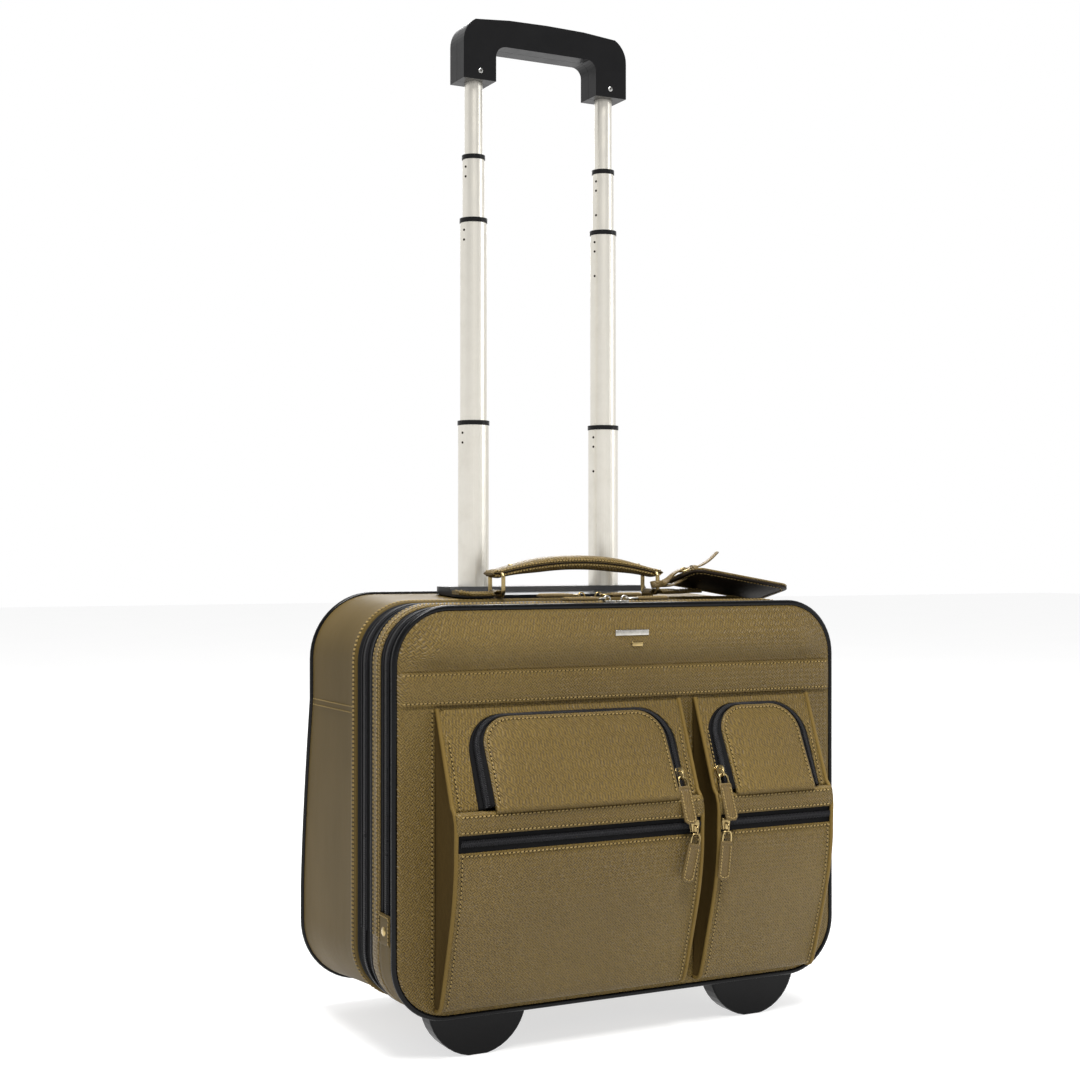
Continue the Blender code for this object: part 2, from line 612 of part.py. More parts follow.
def loft(rows):
    """A closed mesh through rings of the same number of points."""
    mesh = bpy.data.meshes.new("loft")
    work = bmesh.new()
    rings = [[work.verts.new(point) for point in row] for row in rows]
    for first, second in zip(rings, rings[1:]):
        for i in range(len(first)):
            j = (i + 1) % len(first)
            work.faces.new((first[i], first[j], second[j], second[i]))
    work.faces.new(rings[0])
    work.faces.new(rings[-1])
    bmesh.ops.recalc_face_normals(work, faces=work.faces)
    work.to_mesh(mesh)
    work.free()
    return mesh


def luggage_tag():
    """A leather tag that slopes down over the case top, and its strap round the right wire loop's front leg."""
    leg = Vector((LOOP_X, FACE_Y + LOOP_DEPTHS[0], TAG_PIVOT_Z))
    holder = pivot("luggage_tag_pivot", leg)
    length, width, thickness = TAG_SIZE
    tilt = Matrix.Rotation(TAG_SLOPE, 3, "Y") @ Matrix.Rotation(-TAG_ROLL, 3, "X")
    middle = FACE_Y + TAG_DEPTH
    plate = rounded(0, length, -width / 2, width / 2, 0.010, 4)
    start = Vector((TAG_X, middle, TAG_PIVOT_Z + TAG_RISE))
    tag = solid("luggage_tag", flat([plate], thickness, tilt, start), LEATHER, holder)
    eye = [
        rounded(leg.x - 0.0105, leg.x + 0.0105, leg.y - 0.0055, leg.y + 0.0035, 0.002, 2),
        rounded(leg.x - 0.0090, leg.x + 0.0090, leg.y - 0.0038, leg.y + 0.0024, 0.001, 2),
    ]
    join(tag, upright(eye, TAG_PIVOT_Z - 0.0012, TAG_PIVOT_Z + 0.0012))
    low = TAG_PIVOT_Z - 0.0010
    join(tag, block(leg.x + 0.0097, TAG_X + 0.004, 0.0760, 0.0830, low, low + 0.0028))
    join(tag, block(TAG_X - 0.003, TAG_X + 0.004, 0.0760, 0.0830, low, TAG_PIVOT_Z + TAG_RISE + 0.0010))


section = pivot("laptop_section_hinge", (0, FACE_Y + MAIN_ZIP_MIDDLE, SECTION_HINGE_Z))
front = pivot("front_panel_hinge", (0, FACE_Y + PANEL_BACK, SECTION_HINGE_Z), section)
rear_shell()
zips()
laptop_frame()
feet()
front_panel()
pockets()
zip_sliders()
wheels_and_base()
bezel()
grip(trolley())
carry_handle()
luggage_tag()
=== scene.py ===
"""The look of a rolling laptop case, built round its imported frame.

Metres, in the frame's axes: +Z up, the front faces -Y. A depth is measured back from the front panel's face,
and an inset is measured in from the case outline. Each leather, tape and lining is its own sheet.
"""

import math
import random

import bmesh
import bpy
import numpy as np
from mathutils import Matrix, Vector
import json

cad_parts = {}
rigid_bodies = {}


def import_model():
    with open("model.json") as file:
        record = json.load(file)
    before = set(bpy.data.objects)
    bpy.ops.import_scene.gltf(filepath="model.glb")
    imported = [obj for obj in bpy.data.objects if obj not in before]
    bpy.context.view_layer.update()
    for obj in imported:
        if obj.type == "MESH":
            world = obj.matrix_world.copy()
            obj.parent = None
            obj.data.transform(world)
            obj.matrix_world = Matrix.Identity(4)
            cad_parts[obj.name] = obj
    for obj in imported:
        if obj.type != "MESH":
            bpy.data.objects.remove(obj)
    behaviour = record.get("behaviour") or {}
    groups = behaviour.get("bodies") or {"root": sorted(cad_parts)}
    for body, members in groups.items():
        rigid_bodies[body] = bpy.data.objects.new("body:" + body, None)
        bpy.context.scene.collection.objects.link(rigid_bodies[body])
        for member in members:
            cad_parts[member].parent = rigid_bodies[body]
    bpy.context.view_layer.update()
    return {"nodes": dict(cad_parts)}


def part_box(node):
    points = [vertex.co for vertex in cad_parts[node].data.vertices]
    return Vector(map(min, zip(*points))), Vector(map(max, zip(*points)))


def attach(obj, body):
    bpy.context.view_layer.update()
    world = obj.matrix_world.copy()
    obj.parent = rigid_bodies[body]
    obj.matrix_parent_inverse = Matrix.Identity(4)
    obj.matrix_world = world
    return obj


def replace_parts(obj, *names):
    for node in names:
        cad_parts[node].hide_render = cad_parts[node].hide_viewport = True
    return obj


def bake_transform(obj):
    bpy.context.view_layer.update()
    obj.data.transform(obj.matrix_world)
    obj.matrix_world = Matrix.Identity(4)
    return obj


for old in list(bpy.data.objects):
    bpy.data.objects.remove(old, do_unlink=True)
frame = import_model()
nodes = frame["nodes"]
random.seed(7)

# ---------------------------------------------------------------- the frame's own numbers
FACE_Y = -0.08335
PANEL_BACK, FRONT_ZIP_MIDDLE, FRONT_ZIP_BACK = 0.0066, 0.0203, 0.0342
SECTION_BACK, MAIN_ZIP_MIDDLE, SHELL_FRONT = 0.0485, 0.0667, 0.0850
BACK_LOW, BACK_HIGH = 0.2170, 0.1930
OUTLINES = (
    (0.0000, 0.2150, 0.0360, 0.3695, 0.047),
    (0.0342, 0.2150, 0.0360, 0.3705, 0.047),
    (0.0850, 0.2155, 0.0345, 0.3725, 0.050),
    (0.2170, 0.2165, 0.0220, 0.3770, 0.058),
)
RECESS = 0.0025
ZIP_END = 0.100
BAND_LOW, BAND_HIGH = 0.2900, 0.3176  # the padded band across the front
STRIP_LOW, STRIP_HIGH = 0.1905, 0.2075  # the leather strip across each pocket
POCKETS = {"left": (-0.182, 0.052), "right": (0.064, 0.187)}
LIDS = {"left": (-0.1450, 0.0260), "right": (0.0840, 0.1650)}
LID_GAPS = {"left": (0.0125, 0.0120), "right": (0.0130, 0.0110)}  # zip tape beside the lid, left and right
POCKET_PROFILE = (
    (-0.0004, 0.0440), (-0.0050, 0.0440), (-0.0125, 0.0500), (-0.0250, 0.0900), (-0.0360, 0.1300),
    (-0.0405, 0.1600), (-0.0410, 0.1780), (-0.0350, 0.2085), (-0.0030, 0.2880), (-0.0004, 0.2880),
)
FLAP_HINGE, LID_TOP = (-0.0350, 0.2085), 0.0785
SLOPE = math.atan2(0.0320, 0.0795)
TUBE_X, TUBE_DEPTH = 0.0688, 0.1653
LOOP_X, LOOP_DEPTHS, LOOP_LOW, LOOP_HIGH, WIRE = 0.079, (0.081, 0.108), 0.3775, 0.3955, 0.0016
HANDLE_Y = FACE_Y + sum(LOOP_DEPTHS) / 2
TAG_X, TAG_DEPTH, TAG_Z, TAG_SLOPE, TAG_ROLL = 0.100, 0.076, 0.3935, 9.5, -14
TAG_LENGTH, TAG_HALF, TAG_CORNER = 0.106, 0.028, 0.010
ROOM_HALF, LENS_MM, SENSOR_MM = 12.0, 56.99, 36.0
CAMERA_PLACE, CAMERA_PITCH, CAMERA_TURN = (-0.7373, FACE_Y - 1.2712, 0.4145), 0.0074, -0.4745


# ---------------------------------------------------------------- materials
def linear(red, green, blue):
    """A colour written as 0 to 255 steps of sRGB, as the shader's linear values."""
    steps = (value / 255 for value in (red, green, blue))
    return (*((s / 12.92 if s <= 0.04045 else ((s + 0.055) / 1.055) ** 2.4) for s in steps), 1.0)


class Look:
    """One material, and short ways to add nodes to it."""

    def __init__(self, name, roughness=0.5, metallic=0.0, **constants):
        self.material = bpy.data.materials.new(name)
        self.material.use_nodes = True
        self.tree = self.material.node_tree
        self.shader = self.tree.nodes["Principled BSDF"]
        self.shader.inputs["Roughness"].default_value = roughness
        self.shader.inputs["Metallic"].default_value = metallic
        for key, value in constants.items():
            self.shader.inputs[key.replace("_", " ")].default_value = value
        self.place = self.tree.nodes.new("ShaderNodeTexCoord").outputs["Object"]

    def node(self, kind, inputs=(), **settings):
        made = self.tree.nodes.new(kind)
        for key, value in settings.items():
            setattr(made, key, value)
        for key, value in dict(inputs).items():
            if isinstance(value, bpy.types.NodeSocket):
                self.tree.links.new(value, made.inputs[key])
            else:
                made.inputs[key].default_value = value
        return made

    def math(self, operation, first, second=0.0, third=0.0):
        return self.node("ShaderNodeMath", {0: first, 1: second, 2: third}, operation=operation).outputs[0]

    def vector(self, x, y, z=0.0):
        return self.node("ShaderNodeCombineXYZ", {0: x, 1: y, 2: z}).outputs[0]

    def stretched(self, scale, rotation=(0.0, 0.0, 0.0), source=None):
        inputs = {"Vector": source or self.place, "Scale": scale, "Rotation": rotation}
        return self.node("ShaderNodeMapping", inputs).outputs[0]

    def noise(self, scale, detail=2.0, roughness=0.5, source=None):
        inputs = {"Vector": source or self.place, "Scale": scale, "Detail": detail, "Roughness": roughness}
        return self.node("ShaderNodeTexNoise", inputs).outputs["Fac"]

    def ramp(self, value, stops):
        made = self.node("ShaderNodeValToRGB", {"Fac": value})
        elements = made.color_ramp.elements
        for position, colour in stops[2:]:
            elements.new(position)
        for element, (position, colour) in zip(elements, sorted(stops, key=lambda stop: stop[0])):
            element.position = position
            element.color = colour if hasattr(colour, "__len__") else (colour, colour, colour, 1.0)
        return made.outputs["Color"]

    def mix(self, share, first, second, blend="MIX"):
        made = self.node("ShaderNodeMix", data_type="RGBA", blend_type=blend)
        for index, value in ((0, share), (6, first), (7, second)):
            if isinstance(value, bpy.types.NodeSocket):
                self.tree.links.new(value, made.inputs[index])
            else:
                made.inputs[index].default_value = value
        return made.outputs[2]

    def colour(self, value):
        if isinstance(value, bpy.types.NodeSocket):
            self.tree.links.new(value, self.shader.inputs["Base Color"])
        else:
            self.shader.inputs["Base Color"].default_value = value

    def rough(self, value, low, high):
        """Roughness from low to high as value goes from 0 to 1."""
        mapped = self.node("ShaderNodeMapRange", {"Value": value, "To Min": low, "To Max": high}).outputs[0]
        self.tree.links.new(mapped, self.shader.inputs["Roughness"])

    def bump(self, *layers):
        """Bumps one on another: (height, strength, distance in metres)."""
        normal = None
        for height, strength, distance in layers:
            inputs = {"Height": height, "Strength": strength, "Distance": distance}
            if normal:
                inputs["Normal"] = normal
            normal = self.node("ShaderNodeBump", inputs).outputs["Normal"]
        self.tree.links.new(normal, self.shader.inputs["Normal"])

    def flattened(self):
        """Surface coordinates that suit faces turned to the front, the sides and the top: x + y and z - y."""
        x, y, z = self.node("ShaderNodeSeparateXYZ", {0: self.place}).outputs
        return self.math("ADD", x, y), self.math("SUBTRACT", z, y)


def strokes(look, u, v, pitch, patch):
    """Fine lines along both diagonals, in patches that swap direction, as on cross-grain leather: 0 in a groove."""
    sway = look.math("MULTIPLY", look.math("SUBTRACT", look.noise(120.0, 2.0), 0.5), 0.0026)
    a = look.math("ADD", look.math("ADD", u, v), sway)
    b = look.math("ADD", look.math("SUBTRACT", u, v), sway)
    turn = 2 * math.pi / (pitch * math.sqrt(2))
    rows = [look.math("SINE", look.math("MULTIPLY", side, turn)) for side in (a, b)]
    block = look.math("MULTIPLY", *(
        look.math("SINE", look.math("MULTIPLY", side, 2 * math.pi / (patch * math.sqrt(2)))) for side in (a, b)
    ))
    swap = look.node("ShaderNodeMapRange", {"Value": block, "From Min": -0.2, "From Max": 0.2}).outputs[0]
    line = look.math("ADD", rows[0], look.math("MULTIPLY", swap, look.math("SUBTRACT", rows[1], rows[0])))
    return look.node("ShaderNodeMapRange", {"Value": line, "From Min": -0.9, "From Max": 0.75}).outputs[0]


def grained_leather(name, dark, middle, light, depth=1.0, pitch=0.0019):
    look = Look(name, IOR=1.50, Specular_IOR_Level=0.30, Sheen_Weight=0.0)
    u, v = look.flattened()
    line = strokes(look, u, v, pitch, 0.0062)
    cloud = look.noise(5.0, 3.0, 0.50)
    body = look.ramp(cloud, [(0.05, dark), (0.95, light), (0.50, middle)])
    # Painted shade: the grain's grooves are mixed towards dark brown, in patches broken up by noise.
    groove_shade_share = look.math(
        "MULTIPLY", look.math("SUBTRACT", 1.0, line),
        look.ramp(look.noise(420.0, 2.0), [(0.30, 0.35), (0.62, 1.0)])
    )
    groove = look.mix(look.math("MULTIPLY", groove_shade_share, 0.75), body, linear(44, 32, 14))
    # Raised edges, found by pointiness, are mixed towards the light colour: partly rubbed wear, partly a painted
    # highlight.
    rubbed_edge_and_highlight = look.ramp(look.node("ShaderNodeNewGeometry").outputs["Pointiness"], [(0.50, 0.0), (0.62, 1.0)])
    look.colour(look.mix(look.math("MULTIPLY", rubbed_edge_and_highlight, 0.30), groove, light))
    look.rough(look.math("MULTIPLY", line, look.noise(240.0, 3.0)), 0.52, 0.30)
    look.bump((cloud, 0.10, 0.004), (line, 1.0 * depth, 0.00060), (look.noise(2600.0, 2.0), 0.12, 0.00008))
    return look.material


def smooth_leather(name, dark, middle, light, grain=1.0):
    look = Look(name, IOR=1.47, Specular_IOR_Level=0.09, Sheen_Weight=0.0)
    cloud = look.noise(7.0, 5.0, 0.60, look.stretched((1.0, 1.0, 0.45)))
    pores = look.node("ShaderNodeTexVoronoi", {"Vector": look.place, "Scale": 1150.0}).outputs["Distance"]
    body = look.ramp(cloud, [(0.12, dark), (0.88, light), (0.50, middle)])
    look.colour(look.mix(look.ramp(pores, [(0.0, 0.22), (0.35, 0.0)]), body, dark))
    look.rough(cloud, 0.60, 0.46)
    creases = look.noise(60.0, 4.0, 0.55, look.stretched((1.0, 1.0, 0.35)))
    look.bump((creases, 0.16, 0.0012), (pores, 0.30 * grain, 0.00018))
    return look.material


def zip_fabric(name, pitch=0.00075):
    look = Look(name, Specular_IOR_Level=0.12, Sheen_Weight=0.02, Sheen_Roughness=0.40)
    u, v = look.flattened()
    rib = [look.math("SINE", look.math("MULTIPLY", side, 2 * math.pi / pitch)) for side in (u, v)]
    weave = look.node("ShaderNodeMapRange", {"Value": look.math("MULTIPLY", *rib), "From Min": -1.0}).outputs[0]
    fibre = look.noise(900.0, 3.0, 0.6)
    look.colour(look.mix(look.math("MULTIPLY", weave, fibre), linear(3, 3, 4), linear(13, 13, 14)))
    look.rough(fibre, 0.66, 0.84)
    look.bump((weave, 0.55, 0.00020), (fibre, 0.20, 0.00015))
    return look.material


def plastic(name, colour, smear, roughness, texture=0.12, coat=0.0):
    look = Look(name, IOR=1.50, Specular_IOR_Level=0.12, Coat_Weight=coat, Coat_Roughness=0.10)
    cloud = look.noise(26.0, 5.0, 0.60)
    look.colour(look.mix(cloud, colour, smear))
    look.rough(look.noise(85.0, 4.0, 0.6), roughness - 0.06, roughness + 0.10)
    look.bump((look.noise(3200.0, 2.0), texture, 0.00006), (cloud, 0.04, 0.002))
    return look.material


def metal(name, colour, tarnish, roughness, brushed=None, spread=0.75):
    look = Look(name, metallic=1.0)
    smudge = look.noise(55.0, 5.0, 0.62)
    look.colour(look.mix(look.ramp(smudge, [(0.42, 0.0), (0.78, spread)]), colour, tarnish))
    look.rough(smudge, roughness - 0.06, roughness + 0.12)
    fine = look.noise(900.0, 3.0, 0.6, look.stretched(brushed) if brushed else None)
    look.bump((fine, 0.10, 0.00008))
    return look.material


def woven(name, dark, light, pitch):
    look = Look(name, Sheen_Weight=0.3, Sheen_Roughness=0.5, Specular_IOR_Level=0.3)
    u, v = look.flattened()
    rib = [look.math("SINE", look.math("MULTIPLY", side, 2 * math.pi / pitch)) for side in (u, v)]
    weave = look.node("ShaderNodeMapRange", {"Value": look.math("MULTIPLY", *rib), "From Min": -1.0}).outputs[0]
    cloud = look.noise(14.0, 4.0, 0.6)
    look.colour(look.mix(look.math("MULTIPLY", weave, cloud), dark, light))
    look.rough(cloud, 0.70, 0.85)
    look.bump((weave, 0.5, 0.0002), (look.noise(700.0, 3.0), 0.2, 0.0002))
    return look.material


LEATHER = grained_leather("grained_leather", linear(84, 67, 27), linear(101, 82, 35), linear(116, 96, 46))
PULL_LEATHER = grained_leather(
    "pull_leather", linear(74, 59, 28), linear(94, 76, 38), linear(110, 91, 49), 0.5, 0.0013
)
# The side and back leather is a darker copy of the front leather's colour: painted shade on the sides and back.
SHADED_SIDE_LEATHER = smooth_leather("smooth_leather", linear(64, 52, 24), linear(76, 62, 30), linear(87, 72, 38))
# Darker still for the pockets' side gussets: painted shade.
SHADED_POCKET_GUSSET = smooth_leather(
    "pocket_gusset_painted_shade", linear(54, 42, 20), linear(68, 54, 27), linear(80, 64, 34)
)
EDGE = smooth_leather("turned_edge_leather", linear(82, 66, 31), linear(97, 79, 39), linear(110, 91, 49), 0.6)
UNDERSIDE = smooth_leather("leather_back", linear(20, 15, 11), linear(30, 23, 17), linear(42, 33, 24))
ZIP = zip_fabric("zip_tape")
TEETH = plastic("zip_teeth_nylon", linear(24, 24, 26), linear(38, 38, 40), 0.28)
THREAD = smooth_leather(
    "stitching_thread", linear(112, 94, 55), linear(136, 116, 73), linear(156, 136, 92), 1.6
)
# Near-black brown for painted shade: the needle holes between stitches, the handle's seam creases, the screw slots
# and a hole in a tube. The dark tube rivets share it.
SHADE_AND_DARK_RIVETS = smooth_leather("painted_shade_and_dark_rivets", linear(16, 12, 7), linear(24, 18, 11), linear(32, 24, 15))
PIPING = plastic("glossy_black_piping", linear(4, 4, 5), linear(9, 9, 10), 0.24, 0.05, 0.05)
PLASTIC = plastic("satin_black_plastic", linear(8, 8, 9), linear(16, 16, 17), 0.34, 0.18, 0.08)
GLOSS = plastic("glossy_black_plastic", linear(3, 3, 4), linear(7, 7, 8), 0.22, 0.04, 0.05)
ALUMINIUM = metal(
    "champagne_aluminium", linear(222, 218, 208), linear(186, 181, 168), 0.30, (1.0, 1.0, 0.02), 0.25
)
STEEL = metal("turned_steel", linear(168, 168, 166), linear(110, 108, 104), 0.32)
BRASS = metal("antique_brass", linear(172, 152, 106), linear(88, 72, 44), 0.22)
NICKEL = metal("polished_nickel", linear(186, 183, 176), linear(104, 100, 92), 0.18)
RUBBER = plastic("wheel_rubber", linear(15, 15, 15), linear(30, 29, 28), 0.66, 0.5)
LINING = woven("lining_twill", linear(24, 22, 19), linear(44, 40, 34), 0.0011)


# ---------------------------------------------------------------- meshes
def piece(name, points, faces, looks, body, away=None):
    """A mesh object on a body. away is a point that its faces turn from."""
    points = np.asarray(points, float).reshape(-1, 3)
    looks = looks if isinstance(looks, (list, tuple)) else [looks]
    plain = [face if not isinstance(face[-1], (tuple, list)) else face for face in faces]
    mesh = bpy.data.meshes.new(name)
    mesh.from_pydata(points.tolist(), [], [tuple(int(i) for i in face) for face in plain])
    work = bmesh.new()
    work.from_mesh(mesh)
    bmesh.ops.remove_doubles(work, verts=work.verts, dist=2e-6)
    work.normal_update()
    if away is not None:
        away = Vector(away)
        bmesh.ops.recalc_face_normals(work, faces=work.faces)
        facing = sum(
            face.calc_area() * face.normal.dot(face.calc_center_median() - away) for face in work.faces
        )
        if facing < 0:
            bmesh.ops.reverse_faces(work, faces=work.faces)
    work.to_mesh(mesh)
    work.free()
    for look in looks:
        mesh.materials.append(look)
    mesh.shade_smooth()
    obj = bpy.data.objects.new(name, mesh)
    bpy.context.scene.collection.objects.link(obj)
    if body:
        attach(obj, body)
    return obj


def quads(rows, columns, wrap=False):
    faces = []
    for i in range(rows - 1):
        for j in range(columns if wrap else columns - 1):
            k = (j + 1) % columns
            faces.append((i * columns + j, i * columns + k, (i + 1) * columns + k, (i + 1) * columns + j))
    return faces


def sheet(name, rows, look, body, away, wrap=False, thick=0.0, lining=None):
    """A sheet through rows of points, with a thickness that goes inwards and a lining on its inner face."""
    rows = np.asarray(rows, float)
    looks = [look, lining or look]
    obj = piece(name, rows, quads(rows.shape[0], rows.shape[1], wrap), looks, body, away)
    return thickened(obj, thick) if thick else obj


def modified(obj):
    """The object with its modifiers applied."""
    graph = bpy.context.evaluated_depsgraph_get()
    mesh = bpy.data.meshes.new_from_object(obj.evaluated_get(graph))
    obj.modifiers.clear()
    obj.data = mesh
    mesh.shade_smooth()
    return obj


def thickened(obj, thick):
    walls = obj.modifiers.new("thickness", "SOLIDIFY")
    walls.thickness, walls.offset, walls.material_offset = thick, -1, 1
    return modified(obj)


def sharpened(obj, degrees=35):
    obj.data.set_sharp_from_angle(angle=math.radians(degrees))
    return obj


def directions(points, closed=False):
    """Unit directions along a line of points."""
    points = np.asarray(points, float)
    if closed:
        steps = np.roll(points, -1, 0) - np.roll(points, 1, 0)
    else:
        steps = np.gradient(points, axis=0)
    return steps / np.maximum(np.linalg.norm(steps, axis=1, keepdims=True), 1e-12)


def evenly(points, pitch, *more, closed=False):
    """The line resampled at an even pitch, with other rows of vectors resampled alongside."""
    points = np.asarray(points, float)
    rows = [points] + [np.asarray(row, float) for row in more]
    if closed:
        rows = [np.vstack([row, row[:1]]) for row in rows]
    lengths = np.linalg.norm(np.diff(rows[0], axis=0), axis=1)
    reach = np.concatenate([[0], np.cumsum(lengths)])
    count = max(2, int(round(reach[-1] / pitch)))
    marks = (np.arange(count) + 0.5) * reach[-1] / count
    return [np.stack([np.interp(marks, reach, row[:, i]) for i in range(3)], 1) for row in rows]


def tube_mesh(points, radius, closed=False, sides=10):
    """Points and faces of a round tube along a line. The radius may change along it."""
    points = np.asarray(points, float)
    ahead = directions(points, closed)
    side = np.cross(ahead[0], (0, 0, 1) if abs(ahead[0][2]) < 0.9 else (1, 0, 0))
    frames = []
    for way in ahead:
        side = side - way * side.dot(way)
        side = side / np.linalg.norm(side)
        frames.append((side, np.cross(way, side)))
    radii = np.broadcast_to(np.asarray(radius, float), (len(points),))
    angles = np.arange(sides) * 2 * math.pi / sides
    rings = np.stack([
        point + r * (np.cos(angles)[:, None] * a + np.sin(angles)[:, None] * b)
        for point, r, (a, b) in zip(points, radii, frames)
    ])
    faces = quads(len(points), sides, wrap=True)
    if closed:
        last = (len(points) - 1) * sides
        faces += [(last + i, last + (i + 1) % sides, (i + 1) % sides, i) for i in range(sides)]
    else:
        faces += [tuple(range(sides))[::-1], tuple((len(points) - 1) * sides + i for i in range(sides))]
    return rings.reshape(-1, 3), faces


def tube(name, points, radius, look, body, closed=False, sides=12):
    made, faces = tube_mesh(points, radius, closed, sides)
    obj = piece(name, made, faces, look, body)
    return outward(obj)


def outward(obj):
    work = bmesh.new()
    work.from_mesh(obj.data)
    bmesh.ops.recalc_face_normals(work, faces=work.faces)
    work.to_mesh(obj.data)
    work.free()
    return obj


class Many:
    """Small copies of one shape, gathered by body into one mesh each."""

    def __init__(self, name, looks):
        self.name, self.looks, self.bodies = name, looks, {}

    def add(self, body, base, faces, places, axes, looks=None):
        """base points are turned by each place's three axes, given as rows, and moved there."""
        points, shapes, indices = self.bodies.setdefault(body, ([], [], []))
        start = sum(len(block) for block in points)
        made = np.einsum(
            "ka,nab->nkb", np.asarray(base, float), np.asarray(axes, float)
        ) + np.asarray(places)[:, None]
        points.append(made.reshape(-1, 3))
        for i in range(len(made)):
            shift = start + i * len(base)
            shapes.extend(tuple(index + shift for index in face) for face in faces)
            indices.extend(looks or [0] * len(faces))

    def finish(self):
        for body, (points, shapes, indices) in self.bodies.items():
            mesh = bpy.data.meshes.new(f"{self.name}_{body}")
            mesh.from_pydata(np.vstack(points).tolist(), [], shapes)
            for look in self.looks:
                mesh.materials.append(look)
            mesh.polygons.foreach_set("material_index", indices)
            mesh.shade_smooth()
            obj = bpy.data.objects.new(mesh.name, mesh)
            bpy.context.scene.collection.objects.link(obj)
            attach(obj, body)


def capsule(length, radius, height=None, sides=6, arch=0.0):
    """A rounded grain along x; arch lifts its middle."""
    height = height or radius
    rings, faces = [], []
    for share, width in ((-0.5, 0.30), (-0.36, 0.80), (0.0, 1.0), (0.36, 0.80), (0.5, 0.30)):
        lift = arch * (1 - 4 * share**2)
        for i in range(sides):
            angle = 2 * math.pi * i / sides
            rings.append(
                (share * length, width * radius * math.cos(angle), lift + width * height * math.sin(angle))
            )
    faces = quads(5, sides, wrap=True)
    faces += [tuple(range(sides))[::-1], tuple(4 * sides + i for i in range(sides))]
    return rings, faces


def dome(radius, height, sides=10):
    """A low round head that faces z."""
    points, faces = [], []
    for share, rise in ((1.0, 0.0), (0.92, 0.55), (0.60, 0.88)):
        points += [
            (
                radius * share * math.cos(2 * math.pi * i / sides),
                radius * share * math.sin(2 * math.pi * i / sides), height * rise
            )
            for i in range(sides)
        ]
    points.append((0, 0, height))
    faces = quads(3, sides, wrap=True)
    faces += [(2 * sides + i, 2 * sides + (i + 1) % sides, 3 * sides) for i in range(sides)]
    return points, faces


# The second shape is a dark bead laid between stitches: painted shade of a needle hole.
STITCH, HOLE_SHADE_BEAD = capsule(0.0025, 0.00056, 0.00046, arch=0.00018), capsule(0.0013, 0.00060, 0.00022)
TOOTH = capsule(0.0036, 0.00058, 0.00090)
stitches = Many("stitching", [THREAD, SHADE_AND_DARK_RIVETS])
teeth = Many("zip_teeth", [TEETH])
rivets = Many("rivets", [BRASS, STEEL, SHADE_AND_DARK_RIVETS])


def seam(body, points, normals, pitch=0.0037, closed=False):
    """A line of stitches on a surface, with dark beads between them as painted shade of the needle holes."""
    places, normals = evenly(points, pitch, normals, closed=closed)
    ahead = directions(places)
    up = normals / np.linalg.norm(normals, axis=1, keepdims=True)
    side = np.cross(up, ahead)
    side /= np.linalg.norm(side, axis=1, keepdims=True)
    slant = ahead + side * 0.20
    slant /= np.linalg.norm(slant, axis=1, keepdims=True)
    axes = np.stack([slant, np.cross(up, slant), up], 1)
    stitches.add(body, *STITCH, places + up * 0.00022, axes)
    gaps = (places[1:] + places[:-1]) / 2
    stitches.add(body, *HOLE_SHADE_BEAD, gaps + up[1:] * 0.00016, axes[1:], looks=[1] * len(HOLE_SHADE_BEAD[1]))


def coil(body, points, normals, across, pitch=0.0015, shift=0.0):
    """One row of zip teeth, each lying across the zip. across points from this row's tape towards the other."""
    places, normals, across = evenly(points, pitch, normals, across)
    places = places + directions(places) * shift
    up = normals / np.linalg.norm(normals, axis=1, keepdims=True)
    over = across - up * (across * up).sum(1, keepdims=True)
    over /= np.linalg.norm(over, axis=1, keepdims=True)
    axes = np.stack([over, np.cross(up, over), up], 1)
    teeth.add(body, *TOOTH, places, axes)


# ---------------------------------------------------------------- the case outline
CORNER, ACROSS = 14, 84
FRONT_TOP_CORNER = OUTLINES[0][3] - OUTLINES[0][4]


def finer_rows():
    """Heights up the straight side, closer together near the seams of the padded band."""
    rows = list(np.arange(ZIP_END, FRONT_TOP_CORNER, 0.0036)) + [FRONT_TOP_CORNER]
    for edge in (BAND_LOW, BAND_HIGH):
        rows = [row for row in rows if abs(row - edge) > 0.0045]
        rows += [
            edge + step for step in (-0.004, -0.0022, -0.0010, -0.0004, 0.0, 0.0004, 0.0010, 0.0022, 0.004)
        ]
    rows = sorted(row for row in rows if row <= FRONT_TOP_CORNER)
    return [(row - ZIP_END) / (FRONT_TOP_CORNER - ZIP_END) for row in rows]


UPPER_ROWS = finer_rows()
STUB_ROWS = (0.0, 0.25, 0.5, 0.75, 1.0)


def case_outline(depth):
    for near, far in zip(OUTLINES, OUTLINES[1:]):
        if depth <= far[0]:
            share = (depth - near[0]) / (far[0] - near[0])
            return [a + (b - a) * share for a, b in zip(near[1:], far[1:])]
    return list(OUTLINES[-1][1:])


